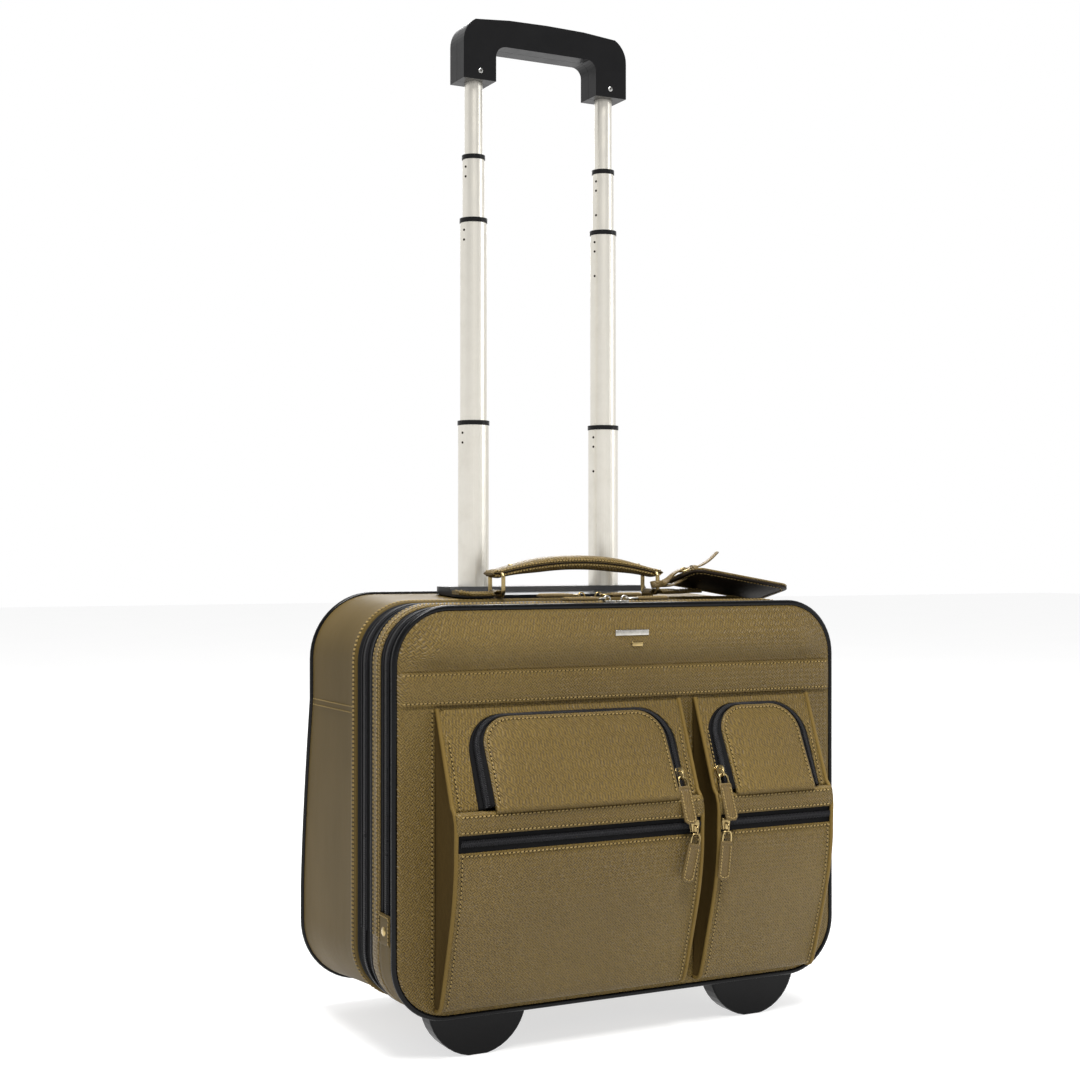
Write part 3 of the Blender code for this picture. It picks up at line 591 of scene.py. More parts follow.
def core_path(depth, part):
    """(x, z, outward x, outward z) round the core of the case outline: the arch over the zip ends, the part
    below them, or the whole ring, anticlockwise from the right zip end as the front is seen."""
    half, bottom, top, radius = case_outline(depth)
    x, low, high = half - radius, bottom + radius, top - radius
    rise = [ZIP_END + (high - ZIP_END) * share for share in UPPER_ROWS]
    stub = [low + (ZIP_END - low) * share for share in STUB_ROWS]
    level = [x - 2 * x * i / ACROSS for i in range(ACROSS + 1)]

    def corner(cx, cz, start):
        turns = (math.radians(start + 90 * i / CORNER) for i in range(1, CORNER))
        return [(cx, cz, math.cos(a), math.sin(a)) for a in turns]

    arch = [(x, z, 1, 0) for z in rise] + corner(x, high, 0) + [(p, high, 0, 1) for p in level]
    arch += corner(-x, high, 90) + [(-x, z, -1, 0) for z in reversed(rise)]
    lower = [(-x, z, -1, 0) for z in reversed(stub)] + corner(-x, low, 180)
    lower += [(p, low, 0, -1) for p in reversed(level)] + corner(x, low, 270) + [(x, z, 1, 0) for z in stub]
    path = {"arch": arch, "lower": lower, "ring": arch[:-1] + lower[:-1]}[part]
    return np.array(path, float), radius


def back_depth(z):
    rise = np.clip((np.asarray(z) - 0.107) / 0.176, 0.0, 1.0)
    return BACK_LOW - (BACK_LOW - BACK_HIGH) * rise**1.4


def case_line(depth, inset, part="ring"):
    """Points on the case skin at a depth, and outward vectors. Behind the shell's front edge the depth is
    scaled, because the back leans in towards the top. The inset may be a number for each point."""
    path, radius = core_path(depth, part)
    reach = radius - np.broadcast_to(np.asarray(inset, float), (len(path),))
    x, z = path[:, 0] + path[:, 2] * reach, path[:, 1] + path[:, 3] * reach
    if depth > SHELL_FRONT:
        share = (depth - SHELL_FRONT) / (BACK_LOW - SHELL_FRONT)
        depths = SHELL_FRONT + share * (back_depth(z) - SHELL_FRONT)
    else:
        depths = np.full(len(path), depth)
    points = np.stack([x, FACE_Y + depths, z], 1)
    outwards = np.stack([path[:, 2], np.zeros(len(path)), path[:, 3]], 1)
    return points, outwards


INSIDE = (0.0, FACE_Y + 0.10, 0.20)


def band(name, profile, part, look, body, thick=0.0, lining=None):
    """A strip of the case skin through (depth, inset) pairs."""
    rows = [case_line(depth, inset, part)[0] for depth, inset in profile]
    return sheet(name, rows, look, body, INSIDE, wrap=part == "ring", thick=thick, lining=lining)


def rounded_sheet(depth, insets):
    """Points and faces that fill the case outline: rings in from the edge at the insets, then a grid."""
    path, radius = core_path(depth, "ring")
    points, faces = [], []
    insets = (*insets, radius)
    for inset in insets:
        reach = radius - inset
        points += [(row[0] + row[2] * reach, row[1] + row[3] * reach, inset) for row in path]
    faces = quads(len(insets), len(path), wrap=True)
    half, bottom, top, _ = case_outline(depth)
    low, high = bottom + radius, top - radius
    heights = [low + (ZIP_END - low) * share for share in STUB_ROWS[:-1]]
    heights += [ZIP_END + (high - ZIP_END) * share for share in UPPER_ROWS]
    x = half - radius
    start = len(points)
    for z in heights:
        points += [
            (
                x - 2 * x * i / ACROSS, z, radius + min(x - abs(x - 2 * x * i / ACROSS), z - low, high - z)
            ) for i in range(ACROSS + 1)
        ]
    faces += [tuple(start + index for index in face) for face in quads(len(heights), ACROSS + 1)]
    return np.array(points), faces


EDGE_INSETS = (0.0, 0.0006, 0.0014, 0.0026, 0.0042, 0.0062, 0.0090, 0.0125, 0.0170, 0.0230, 0.0300, 0.0380)


def smoothstep(value):
    value = np.clip(value, 0.0, 1.0)
    return value * value * (3 - 2 * value)


def ripples(x, z, size, seed=0.0):
    """Soft undulations between -1 and 1, the same on every run."""
    a = np.sin(x / size * 6.1 + 1.3 + seed) * np.cos(z / size * 4.7 + 0.4 + seed)
    b = np.sin((x + z) / size * 3.3 + 2.1 * seed) * np.cos((x - z) / size * 2.9 + 0.9)
    return 0.6 * a + 0.4 * b


# ---------------------------------------------------------------- front panel
def face_height(x, z, inset):
    """How far the front leather stands proud of its flat face."""
    pad = smoothstep((z - BAND_HIGH) / 0.016) * smoothstep((inset - 0.002) / 0.030)
    upper = 0.0068 * pad + 0.0004 * ripples(x, z, 0.09) * pad
    across = np.clip((z - BAND_LOW) / (BAND_HIGH - BAND_LOW), 0, 1)
    padded = 0.0030 * (1 - (2 * across - 1) ** 4) + 0.0002 * ripples(x, z, 0.05, 2.0)
    lower = 0.0002 * ripples(x, z, 0.07, 1.0)
    height = np.where(z > BAND_HIGH, upper, np.where(z > BAND_LOW, padded, lower))
    edge = -0.0024 * (1 - smoothstep(inset / 0.0050))
    lip = 0.0012 * np.exp(
        -(((z - BAND_LOW - 0.0008) / 0.0010) ** 2)
    ) - 0.0008 * np.exp(-(((z - BAND_LOW + 0.0006) / 0.0008) ** 2))
    groove = -0.0007 * np.exp(-(((z - BAND_HIGH) / 0.0007) ** 2))
    return height * smoothstep(inset / 0.010) + edge + (lip + groove) * smoothstep((inset - 0.002) / 0.006)


def face_line(points):
    """Points on the front leather over (x, z) pairs."""
    x, z = np.asarray(points, float).T
    half, bottom, top, _ = case_outline(0.0)
    inset = np.minimum.reduce([half - np.abs(x), z - bottom, top - z])
    return np.stack([x, FACE_Y - face_height(x, z, inset), z], 1)


def front_face():
    points, faces = rounded_sheet(0.0, EDGE_INSETS)
    x, z, inset = points.T
    made = np.stack([x, FACE_Y - face_height(x, z, inset), z], 1)
    face = piece("front_face_leather", made, faces, [LEATHER, LINING], "front_panel", INSIDE)
    thickened(face, 0.0016)
    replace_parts(face, "front_panel")
    back = np.stack([x, np.full(len(x), FACE_Y + PANEL_BACK - 0.0004), z], 1)
    inner = piece("front_panel_lining", back, faces, LINING, "front_panel", (0, -1, 0.2))
    edge = [case_line(depth, inset)[0] for depth, inset in ((0.0022, 0.0), (0.0045, -0.0003), (0.0062, 0.0004))]
    sheet("front_panel_edge", edge, PIPING, "front_panel", INSIDE, wrap=True)
    roll, _ = case_line(0.0026, 0.0004)
    tube("front_piping", roll, 0.0026, PIPING, "front_panel", closed=True)
    forward = np.array([0.0, -1.0, 0.0])
    for z_line, span in ((BAND_LOW + 0.0026, 0.2095), (BAND_HIGH - 0.0022, 0.2095)):
        line = face_line([(x, z_line) for x in np.linspace(-span, span, 200)])
        seam("front_panel", line, np.tile(forward, (len(line), 1)))
    line = face_line([(-0.1825, z) for z in np.linspace(0.050, BAND_LOW - 0.002, 90)])
    seam("front_panel", line, np.tile(forward, (len(line), 1)))


def plates():
    """Blank metal plates on the upper panel."""
    for name, x, z, size, look in (
        ("blank_plate", 0.0011, 0.3462, (0.0330, 0.0050), NICKEL),
        ("blank_plate_small", 0.0055, 0.3363, (0.0105, 0.0036), BRASS),
    ):
        place = face_line([(x, z)])[0] + (0, -0.0007, 0)
        obj = bar(name, place, (size[0], 0.0014, size[1]), 0.0005, look, "front_panel")


def bar(name, centre, size, bevel, look, body, turn=None):
    """A block with rounded edges."""
    work = bmesh.new()
    bmesh.ops.create_cube(work, size=1.0)
    bmesh.ops.scale(work, vec=size, verts=work.verts)
    bmesh.ops.bevel(work, geom=list(work.edges), offset=bevel, segments=3, profile=0.5, affect="EDGES")
    matrix = Matrix.Translation(Vector(centre)) @ (turn.to_4x4() if turn else Matrix.Identity(4))
    bmesh.ops.transform(work, matrix=matrix, verts=work.verts)
    mesh = bpy.data.meshes.new(name)
    work.to_mesh(mesh)
    work.free()
    mesh.materials.append(look)
    mesh.shade_smooth()
    obj = bpy.data.objects.new(name, mesh)
    bpy.context.scene.collection.objects.link(obj)
    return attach(sharpened(obj, 40), body)


# ---------------------------------------------------------------- case skin
def zip_half(name, near, far, body, part, replaced, toward):
    """One tape of a case zip, with its ridges and its row of teeth at the edge that meets the other tape."""
    middle, outer = (far, near) if toward > 0 else (near, far)
    shape = (
        (0.00, 0.0020), (0.05, 0.0014), (0.12, 0.0012), (0.20, 0.0018), (0.30, 0.0026), (0.62, 0.0026),
        (0.78, 0.0024), (0.90, 0.0017), (0.985, 0.0015)
    )
    profile = [(outer + (middle - outer) * share, inset) for share, inset in shape]
    tape = band(name, profile, part, ZIP, body, thick=0.0011, lining=ZIP)
    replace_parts(tape, replaced)
    row = middle + (0.0010 if toward < 0 else -0.0010)
    points, outs = case_line(row, 0.0009, "arch")
    if part == "ring":
        lower, below = case_line(row, 0.0009, "lower")
        straight = [index for index in range(len(lower)) if lower[index][2] > 0.0385]
        left = [index for index in straight if lower[index][0] < 0]
        right = [index for index in straight if lower[index][0] > 0]
        points = np.vstack([lower[right], points[1:], lower[left][1:]])
        outs = np.vstack([below[right], outs[1:], below[left][1:]])
    across = np.tile((0.0, float(toward), 0.0), (len(points), 1))
    coil(body, points, outs, across, shift=0.0 if toward > 0 else 0.00075)
    for offset in (0.0030, 0.0100):
        cord, _ = case_line(middle - toward * offset, 0.0016 if offset < 0.005 else 0.0022, "arch")
        tube(f"{name}_cord_{int(offset * 1e4)}", cord, 0.00055, TEETH, body, sides=6)
    return tape


def side_zips():
    zip_half(
        "front_zip_tape_front", PANEL_BACK + 0.0006, FRONT_ZIP_MIDDLE, "front_panel", "arch", "front_zip_front",
        1
    )
    zip_half(
        "front_zip_tape_rear", FRONT_ZIP_MIDDLE, FRONT_ZIP_BACK, "laptop_section", "arch", "front_zip_rear", -1
    )
    zip_half(
        "main_zip_tape_front", SECTION_BACK + 0.0012, MAIN_ZIP_MIDDLE, "laptop_section", "ring",
        "main_zip_front", 1
    )
    zip_half("main_zip_tape_rear", MAIN_ZIP_MIDDLE, SHELL_FRONT, "case", "ring", "main_zip_rear", -1)


def section_skin():
    """Leather of the laptop section: the strip between the zips, its seams and piping, and the lining of its wall
    and dividers.
    """
    profile = (
        (0.0336, 0.0020), (0.0338, 0.0004), (0.0346, -0.0004), (0.0370, -0.0006), (0.0410, -0.0008),
        (0.0450, -0.0007), (0.0470, -0.0001), (0.0476, 0.0012), (0.0478, 0.0028),
    )
    strip = band("section_strip", profile, "ring", LEATHER, "laptop_section", thick=0.0014, lining=LINING)
    for depth in (0.0364, 0.0442):
        points, outs = case_line(depth, -0.0006, "arch")
        seam("laptop_section", points, outs)
    roll, _ = case_line(0.0492, 0.0010)
    tube("section_piping", roll, 0.0019, PIPING, "laptop_section", closed=True)
    wall = [case_line(depth, RECESS + 0.0030, "ring")[0] for depth in np.linspace(0.0343, 0.0478, 5)]
    inner = sheet("section_wall_lining", wall, LINING, "laptop_section", INSIDE, wrap=True, thick=0.0006)
    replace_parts(inner, "laptop_frame")
    points, faces = rounded_sheet(SECTION_BACK, (0.0042, 0.0060, 0.0090, 0.0140, 0.0220, 0.0320))
    x, z, inset = points.T
    for name, depth, bulge, away in (
        ("divider_front", 0.0458, -0.0012, 1.0), ("divider_rear", 0.0478, 0.0010, -1.0)
    ):
        y = FACE_Y + depth + bulge * smoothstep((inset - 0.005) / 0.02)
        piece(name, np.stack([x, y, z], 1), faces, LINING, "laptop_section", (0, away, 0.2))


def lower_gusset():
    """Leather below the front zip's ends, baked in place and left on no body."""
    insets = (
        (0.0066, 0.0010), (0.0075, 0.0), (0.0110, -0.0002), (0.0180, 0.0002), (0.0260, 0.0), (0.0320, -0.0002),
        (0.0336, 0.0006)
    )
    rows = [case_line(depth, inset, "lower")[0] for depth, inset in insets]
    gusset = sheet("lower_gusset", rows, SHADED_SIDE_LEATHER, None, INSIDE, thick=0.0012, lining=LINING)
    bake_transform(gusset)


def rear_skin():
    """Leather of the main compartment: turned edge, gusset, seams and the padded back."""
    depths = (
        0.0850, 0.0852, 0.0862, 0.0900, 0.0930, 0.0936, 0.1000, 0.1120, 0.1280, 0.1450, 0.1620, 0.1800, 0.1980,
        0.2110, 0.2160
    )
    insets = (
        0.0022, 0.0006, -0.0002, -0.0004, -0.0003, 0.0004, 0.0008, 0.0010, 0.0012, 0.0012, 0.0012, 0.0010,
        0.0008, 0.0004, 0.0006
    )
    rows = [case_line(depth, inset)[0] for depth, inset in zip(depths, insets)]
    count = rows[0].shape[0]
    points, faces = rounded_sheet(BACK_LOW, (0.0012, 0.0030, 0.0060, 0.0100, 0.0160, 0.0240, 0.0340, 0.0460))
    x, z, inset = points.T
    swell = 0.0030 * smoothstep((inset - 0.002) / 0.040) + 0.0004 * ripples(x, z, 0.10, 3.0)
    back = np.stack([x, FACE_Y + back_depth(z) + swell, z], 1)
    made = np.vstack(rows + [back])
    shell_faces = quads(len(rows) + 1, count, wrap=True)
    start = len(rows) * count
    shell_faces += [tuple(start + index for index in face) for face in faces]
    shell = piece("rear_shell_leather", made, shell_faces, [SHADED_SIDE_LEATHER, LINING], "case", INSIDE)
    for side in (-1, 1):
        cut_away(shell, side * 0.0960, side * 0.1280, 0.1622, 0.2600, 0.0, 0.0622)
        cut_away(shell, side * TUBE_X - 0.0148, side * TUBE_X + 0.0148, 0.1505, 0.1801, 0.34, 0.40)
    thickened(shell, 0.0022)
    sharpened(shell, 50)
    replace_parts(shell, "rear_shell")
    roll, _ = case_line(0.2166, 0.0006)
    lengths = roll[:, 2]
    keep = ~((np.abs(np.abs(roll[:, 0]) - 0.112) < 0.0165) & (lengths < 0.06))
    for index, run in enumerate(runs(keep)):
        tube(f"rear_piping_{index}", roll[run], 0.0024, PIPING, "case")
    for depth in (0.0892, 0.0921):
        points, outs = case_line(depth, -0.0003)
        seam("case", points, outs, closed=True)
    for side in (-1, 1):
        for z in (0.2785, 0.2835):
            line = []
            for depth in np.linspace(0.096, 0.2130, 40):
                ring, _ = case_line(depth, 0.0008, "arch")
                half = ring[ring[:, 0] * side > 0]
                order = np.argsort(half[:, 2])
                order = order[half[order, 2] < 0.32]
                line.append([np.interp(z, half[order, 2], half[order, axis]) for axis in range(3)])
            seam("case", line, np.tile((float(side), 0.0, 0.0), (len(line), 1)))


def runs(keep):
    """Index lists of the unbroken stretches of a closed row."""
    count = len(keep)
    first = next(i for i in range(count) if not keep[i])
    found, current = [], []
    for step in range(1, count + 1):
        i = (first + step) % count
        if keep[i]:
            current.append(i)
        elif current:
            found.append(current)
            current = []
    return found


def cut_away(obj, left, right, near, far, low, high):
    """Removes the part of a sheet that lies in a box, cut cleanly along the box's sides."""
    left, right = sorted((left, right))
    near, far = FACE_Y + near, FACE_Y + far
    work = bmesh.new()
    work.from_mesh(obj.data)
    for axis, marks in enumerate(((left, right), (near, far), (low, high))):
        for mark in marks:
            close = [
                face for face in work.faces
                if all(
                    low_ - 0.02 < value < high_ + 0.02 for value, low_,
                    high_ in zip(face.calc_center_median(), (left, near, low), (right, far, high))
                )
            ]
            geometry = set(close)
            for face in close:
                geometry.update(face.edges)
                geometry.update(face.verts)
            place, normal = [0.0, 0.0, 0.0], [0.0, 0.0, 0.0]
            place[axis], normal[axis] = mark, 1.0
            bmesh.ops.bisect_plane(work, geom=list(geometry), dist=1e-6, plane_co=place, plane_no=normal)
    gone = [
        face for face in work.faces
        if all(
            low_ < value < high_ for value, low_,
            high_ in zip(face.calc_center_median(), (left, near, low), (right, far, high))
        )
    ]
    bmesh.ops.delete(work, geom=gone, context="FACES")
    work.to_mesh(obj.data)
    work.free()


# ---------------------------------------------------------------- pockets
def smooth_profile():
    """Points of the pocket's front, from the bottom up to the top of its slope, with outward normals."""
    knots = [Vector((depth, z, 0)) for depth, z in POCKET_PROFILE[:7]]
    knots.append(Vector((-0.0418, 0.1960, 0)))
    points = []
    for i in range(len(knots) - 1):
        before = knots[max(0, i - 1)]
        after = knots[min(len(knots) - 1, i + 2)]
        for step in range(12):
            t = step / 12
            a, b = knots[i], knots[i + 1]
            m0, m1 = (b - before) * 0.5, (after - a) * 0.5
            h = (2 * t**3 - 3 * t**2 + 1, t**3 - 2 * t**2 + t, -2 * t**3 + 3 * t**2, t**3 - t**2)
            points.append(a * h[0] + m0 * h[1] + b * h[2] + m1 * h[3])
    return np.array([(p.x, p.y) for p in points])


PROFILE = smooth_profile()


def profile_rows(low, high, count):
    """(depth, z) points and normals of the pocket front between two heights. A low of None is the bottom."""
    start = 0 if low is None else int(np.argmax(PROFILE[:, 1] >= low))
    end = int(np.argmax(PROFILE[:, 1] >= high))
    line = PROFILE[start : end + 1]
    lengths = np.concatenate([[0], np.cumsum(np.linalg.norm(np.diff(line, axis=0), axis=1))])
    marks = np.linspace(0, lengths[-1], count)
    points = np.stack([np.interp(marks, lengths, line[:, i]) for i in range(2)], 1)
    ahead = np.gradient(points, axis=0)
    normals = np.stack([-ahead[:, 1], ahead[:, 0]], 1)
    return points, normals / np.linalg.norm(normals, axis=1, keepdims=True)


SLOPE_UP = np.array([0.0, math.sin(SLOPE), math.cos(SLOPE)])
SLOPE_OUT = np.array([0.0, -math.cos(SLOPE), math.sin(SLOPE)])


def on_slope(x, up, out):
    """Points over the pocket's sloping face: across, up along it, and out from it."""
    x, up, out = np.broadcast_arrays(*(np.asarray(value, float) for value in (x, up, out)))
    origin = np.array([0.0, FACE_Y + FLAP_HINGE[0], FLAP_HINGE[1]])
    sideways = x[..., None] * np.array([1.0, 0.0, 0.0])
    return origin + sideways + up[..., None] * SLOPE_UP + out[..., None] * SLOPE_OUT


SLOPE_LENGTH = 0.0795 / math.cos(SLOPE)


def lid_height(up):
    """How far the lid's face stands off the slope."""
    share = np.clip(np.asarray(up) / LID_TOP, 0, 1)
    return 0.0028 + 0.0062 * (1 - share) ** 0.9


def arch_line(left, right, bottom, top, radius):
    """(x, up) round an arch, from its lower left to its lower right."""
    points = [(left, bottom + (top - radius - bottom) * i / 20) for i in range(20)]
    for i in range(14):
        angle = math.radians(180 - 90 * i / 14)
        points.append((left + radius + radius * math.cos(angle), top - radius + radius * math.sin(angle)))
    points += [(left + radius + (right - left - 2 * radius) * i / 24, top) for i in range(24)]
    for i in range(14):
        angle = math.radians(90 - 90 * i / 14)
        points.append((right - radius + radius * math.cos(angle), top - radius + radius * math.sin(angle)))
    points += [(right, top - radius - (top - radius - bottom) * i / 20) for i in range(21)]
    return np.array(points)


def frame_line(left, right, top):
    """(x, up) round the slope's own edge, point for point with arch_line."""
    points = [(left, (top - 0.004) * i / 27) for i in range(27)]
    points += [(left, top - 0.004 + 0.004 * i / 2) for i in range(2)]
    points += [(left + (right - left) * i / 34, top) for i in range(1, 34)]
    points += [(right, top), (right, top - 0.002)]
    points += [(right, (top - 0.004) * (28 - i) / 28) for i in range(29)]
    return np.array(points)


def lid_lines(side, inner=0.0):
    left, right = LIDS[side]
    before, after = LID_GAPS[side]
    lid = arch_line(left + inner, right - inner, 0.0015, LID_TOP - 0.0020 - inner, 0.0260 - inner)
    outer = arch_line(left - before, right + after, 0.0, LID_TOP + 0.0006, 0.0330)
    return lid, outer


def pocket(side):
    left, right = POCKETS[side]
    start, end = left + 0.0022, right - 0.0022
    columns = np.linspace(start, end, int((right - left) / 0.0035))
    swell = 1 - (2 * (columns - start) / (end - start) - 1) ** 6
    inside = ((left + right) / 2, FACE_Y + 0.02, 0.17)

    def face_rows(low, high, count, bulge, lip_low=0.0, lip_high=0.0):
        points, normals = profile_rows(low, high, count)
        rows = []
        for index, ((depth, z), (out_y, out_z)) in enumerate(zip(points, normals)):
            share = index / (count - 1)
            lift = bulge * math.sin(math.pi * share) ** 0.5 if 0 < share < 1 else 0.0
            lift -= lip_low * (1 - smoothstep(index / 2.5)) + lip_high * (
                1 - smoothstep((count - 1 - index) / 2.5)
            )
            lifts = lift * swell + 0.00035 * ripples(columns, z, 0.08, left * 40) * min(1, 4 * share * (1 - share))
            rows.append(np.stack([columns, FACE_Y + depth + out_y * lifts, z + out_z * lifts], 1))
        return rows

    lower = sheet(
        f"{side}_pocket_face", face_rows(None, 0.1765, 60, 0.0014, 0.0, 0.0014), LEATHER, "front_panel", inside,
        thick=0.0014, lining=LINING
    )
    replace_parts(lower, f"{side}_pocket")
    tape = sheet(
        f"{side}_pocket_zip_tape", [row + (0, 0.0016, 0) for row in face_rows(0.1745, 0.1915, 12, 0.0)], ZIP,
        "front_panel", inside, thick=0.0010
    )
    x = np.linspace(start + 0.004, end - 0.002, 120)
    depth = float(np.interp(0.1838, PROFILE[40:, 1], PROFILE[40:, 0]))
    for shift, toward in ((0.0, 1.0), (0.00075, -1.0)):
        line = np.stack([x, np.full(120, FACE_Y + depth + 0.0003), np.full(120, 0.1838 - toward * 0.0010)], 1)
        coil(
            "front_panel", line, np.tile((0, -1.0, 0), (120, 1)), np.tile((0, 0, toward), (120, 1)), shift=shift
        )
    pocket_strip(side, columns, inside)
    forward = np.array([0.0, -1.0, 0.0])
    stitch_x = np.linspace(start + 0.004, end - 0.002, 160)
    lower_depth = float(np.interp(0.1745, PROFILE[40:, 1], PROFILE[40:, 0]))
    line = np.stack([stitch_x, np.full(160, FACE_Y + lower_depth - 0.0006), np.full(160, 0.1743)], 1)
    seam("front_panel", line, np.tile(forward, (160, 1)))
    pocket_slope(side, start, end, inside)
    pocket_sides(side, left, right)


def strip_line(share):
    """(depth, z) of the middle of the strip's bulge from its lower to its upper edge."""
    z = STRIP_LOW + (STRIP_HIGH - STRIP_LOW) * share
    depth = -0.0412 + 0.0004 * share
    return depth - 0.0020 * max(0.0, 1 - (2 * share - 1) ** 4) ** 0.5, z


def pocket_strip(side, columns, inside):
    """The leather strip across a pocket, from its zip up to the lid's hinge, with a seam along each edge."""
    rows = []
    for share in (-0.02, 0.0, 0.02, 0.06, 0.12, 0.2, 0.3, 0.4, 0.5, 0.6, 0.7, 0.8, 0.88, 0.94, 0.98, 1.0):
        depth, z = strip_line(min(1.0, max(0.0, share)))
        depth += 0.0022 if share < 0 else 0.0
        wave = 0.0002 * ripples(columns, z, 0.06, 4.0)
        rows.append(np.stack([columns, FACE_Y + depth - wave, np.full(len(columns), z)], 1))
    depth, z = strip_line(1.0)
    rows.append(
        np.stack(
            [columns, np.full(len(columns), FACE_Y + depth + 0.0010), np.full(len(columns), z + 0.0005)], 1
        )
    )
    rows.append(
        np.stack(
            [columns, np.full(len(columns), FACE_Y + FLAP_HINGE[0]), np.full(len(columns), FLAP_HINGE[1])], 1
        )
    )
    strip = sheet(f"{side}_pocket_strip", rows, LEATHER, "front_panel", inside, thick=0.0012, lining=LINING)
    for share in (0.14, 0.86):
        depth, z = strip_line(share)
        line = np.stack(
            [columns[1:-1], np.full(len(columns) - 2, FACE_Y + depth - 0.0002), np.full(len(columns) - 2, z)], 1
        )
        seam("front_panel", line, np.tile((0.0, -0.95, 0.3 * (share - 0.5)), (len(line), 1)))
    return strip


def pocket_slope(side, start, end, inside):
    """The sloping face round the lid, the zip's two tapes, and the lid."""
    lid, outer = lid_lines(side)
    border = frame_line(start, end, SLOPE_LENGTH - 0.0010)
    shares = (0.0, 0.03, 0.08, 0.16, 0.3, 0.45, 0.6, 0.75, 0.88, 0.95, 1.0)
    rows = [on_slope(outer[:, 0], outer[:, 1], -0.0012), on_slope(outer[:, 0], outer[:, 1], 0.0002)]
    for share in shares[1:]:
        line = outer + (border - outer) * share
        rows.append(on_slope(line[:, 0], line[:, 1], 0.0006 * (1 - share)))
    face = sheet(f"{side}_pocket_slope", rows, LEATHER, "front_panel", inside, thick=0.0012, lining=LINING)

    heights = lid_height(lid[:, 1]) - 0.0016
    middle = (lid + outer) / 2
    drop = -0.0006

    def tape_rows(low, high, count):
        made = []
        for share in np.linspace(low, high, count):
            line = outer + (lid - outer) * share
            out = drop + (heights - drop) * share + 0.0006 * math.sin(math.pi * min(1, share * 2) * 2)
            made.append(on_slope(line[:, 0], line[:, 1], out))
        return made

    for name, body, low, high in (
        ("outer", "front_panel", -0.08, 0.49), ("inner", f"{side}_pocket_flap", 0.51, 1.06)
    ):
        tape = sheet(f"{side}_lid_zip_{name}", tape_rows(low, high, 8), ZIP, body, inside, thick=0.0009)
    out = drop + (heights - drop) * 0.5
    across = on_slope(lid[:, 0], lid[:, 1], heights) - on_slope(outer[:, 0], outer[:, 1], drop)
    widths = np.linalg.norm(across, axis=1)
    up = np.cross(directions(on_slope(middle[:, 0], middle[:, 1], out)), across)
    up *= np.sign((up * SLOPE_OUT).sum(1, keepdims=True))
    wide = widths > 0.0045
    line = on_slope(middle[:, 0], middle[:, 1], out + 0.0010)
    unit = across / widths[:, None]
    coil("front_panel", (line - unit * 0.0009)[wide], up[wide], across[wide])
    coil(f"{side}_pocket_flap", (line + unit * 0.0009)[wide], up[wide], -across[wide], shift=0.00075)
    lid_piece(side)

    edge_in = arch_line(start + 0.0060, end - 0.0060, 0.0, SLOPE_LENGTH - 0.0072, 0.008)
    for run in (edge_in[:18], edge_in[-18:]):
        seam("front_panel", on_slope(run[:, 0], run[:, 1], 0.0004), np.tile(SLOPE_OUT, (len(run), 1)))


def lid_piece(side):
    """The raised D-shaped lid: a turned edge, a stitched border and a crowned face, closed at the bottom."""
    left, right = LIDS[side]
    insets = (0.0, -0.0002, 0.0, 0.0006, 0.0016, 0.0032, 0.0042, 0.0060, 0.0090, 0.0130, 0.0175, 0.0225)
    lifts = (-0.0044, -0.0012, -0.0004, 0.0001, 0.0004, 0.0003, 0.0005, 0.0008, 0.0012, 0.0016, 0.0019, 0.0020)
    rows = []
    for inset, lift in zip(insets, lifts):
        line = arch_line(left + inset, right - inset, -0.0038, LID_TOP - 0.0020 - inset, 0.0260 - inset)
        rows.append(
            on_slope(
                line[:, 0], line[:, 1],
                lid_height(line[:, 1]) + lift + 0.0002 * ripples(line[:, 0], line[:, 1], 0.05)
            )
        )
    count = rows[0].shape[0]
    faces = quads(len(rows), count)
    # the middle: a grid between the last row's two legs
    line = arch_line(left + 0.0225, right - 0.0225, -0.0038, LID_TOP - 0.0245, 0.0035)
    half, steps = 34, 24  # arch_line's first point on the top edge, and its steps along it
    start = len(rows) * count
    inner = []
    for index in range(half + 1):
        a, b = line[index], line[count - 1 - index]
        across = a + (b - a) * np.linspace(0, 1, steps + 1)[:, None]
        inner.append(
            on_slope(
                across[:, 0], across[:, 1],
                lid_height(across[:, 1]) + 0.0020 + 0.0002 * ripples(across[:, 0], across[:, 1], 0.05)
            )
        )
    faces += [tuple(start + index for index in face) for face in quads(half + 1, steps + 1)]
    made = np.vstack([np.vstack(rows), np.vstack(inner)])
    # the bottom edge turns down to the strip
    edge = [row[0] for row in rows] + list(inner[0][1:-1]) + [row[-1] for row in reversed(rows)]
    hem = np.array(
        [
            edge, [point - SLOPE_OUT * 0.0030 - SLOPE_UP * 0.0008 for point in edge],
            [point - SLOPE_OUT * 0.0085 - SLOPE_UP * 0.0010 for point in edge]
        ]
    )
    start = len(made)
    faces += [tuple(start + index for index in face) for face in quads(3, len(edge))]
    inside = ((left + right) / 2, FACE_Y + 0.02, 0.24)
    obj = piece(
        f"{side}_pocket_lid", np.vstack([made, hem.reshape(-1, 3)]), faces, [LEATHER, LINING],
        f"{side}_pocket_flap", inside
    )
    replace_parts(thickened(obj, 0.0014), f"{side}_pocket_flap")
    line, _ = lid_lines(side, 0.0032)
    seam(
        f"{side}_pocket_flap", on_slope(line[:, 0], line[:, 1], lid_height(line[:, 1]) + 0.0005),
        np.tile(SLOPE_OUT, (len(line), 1))
    )


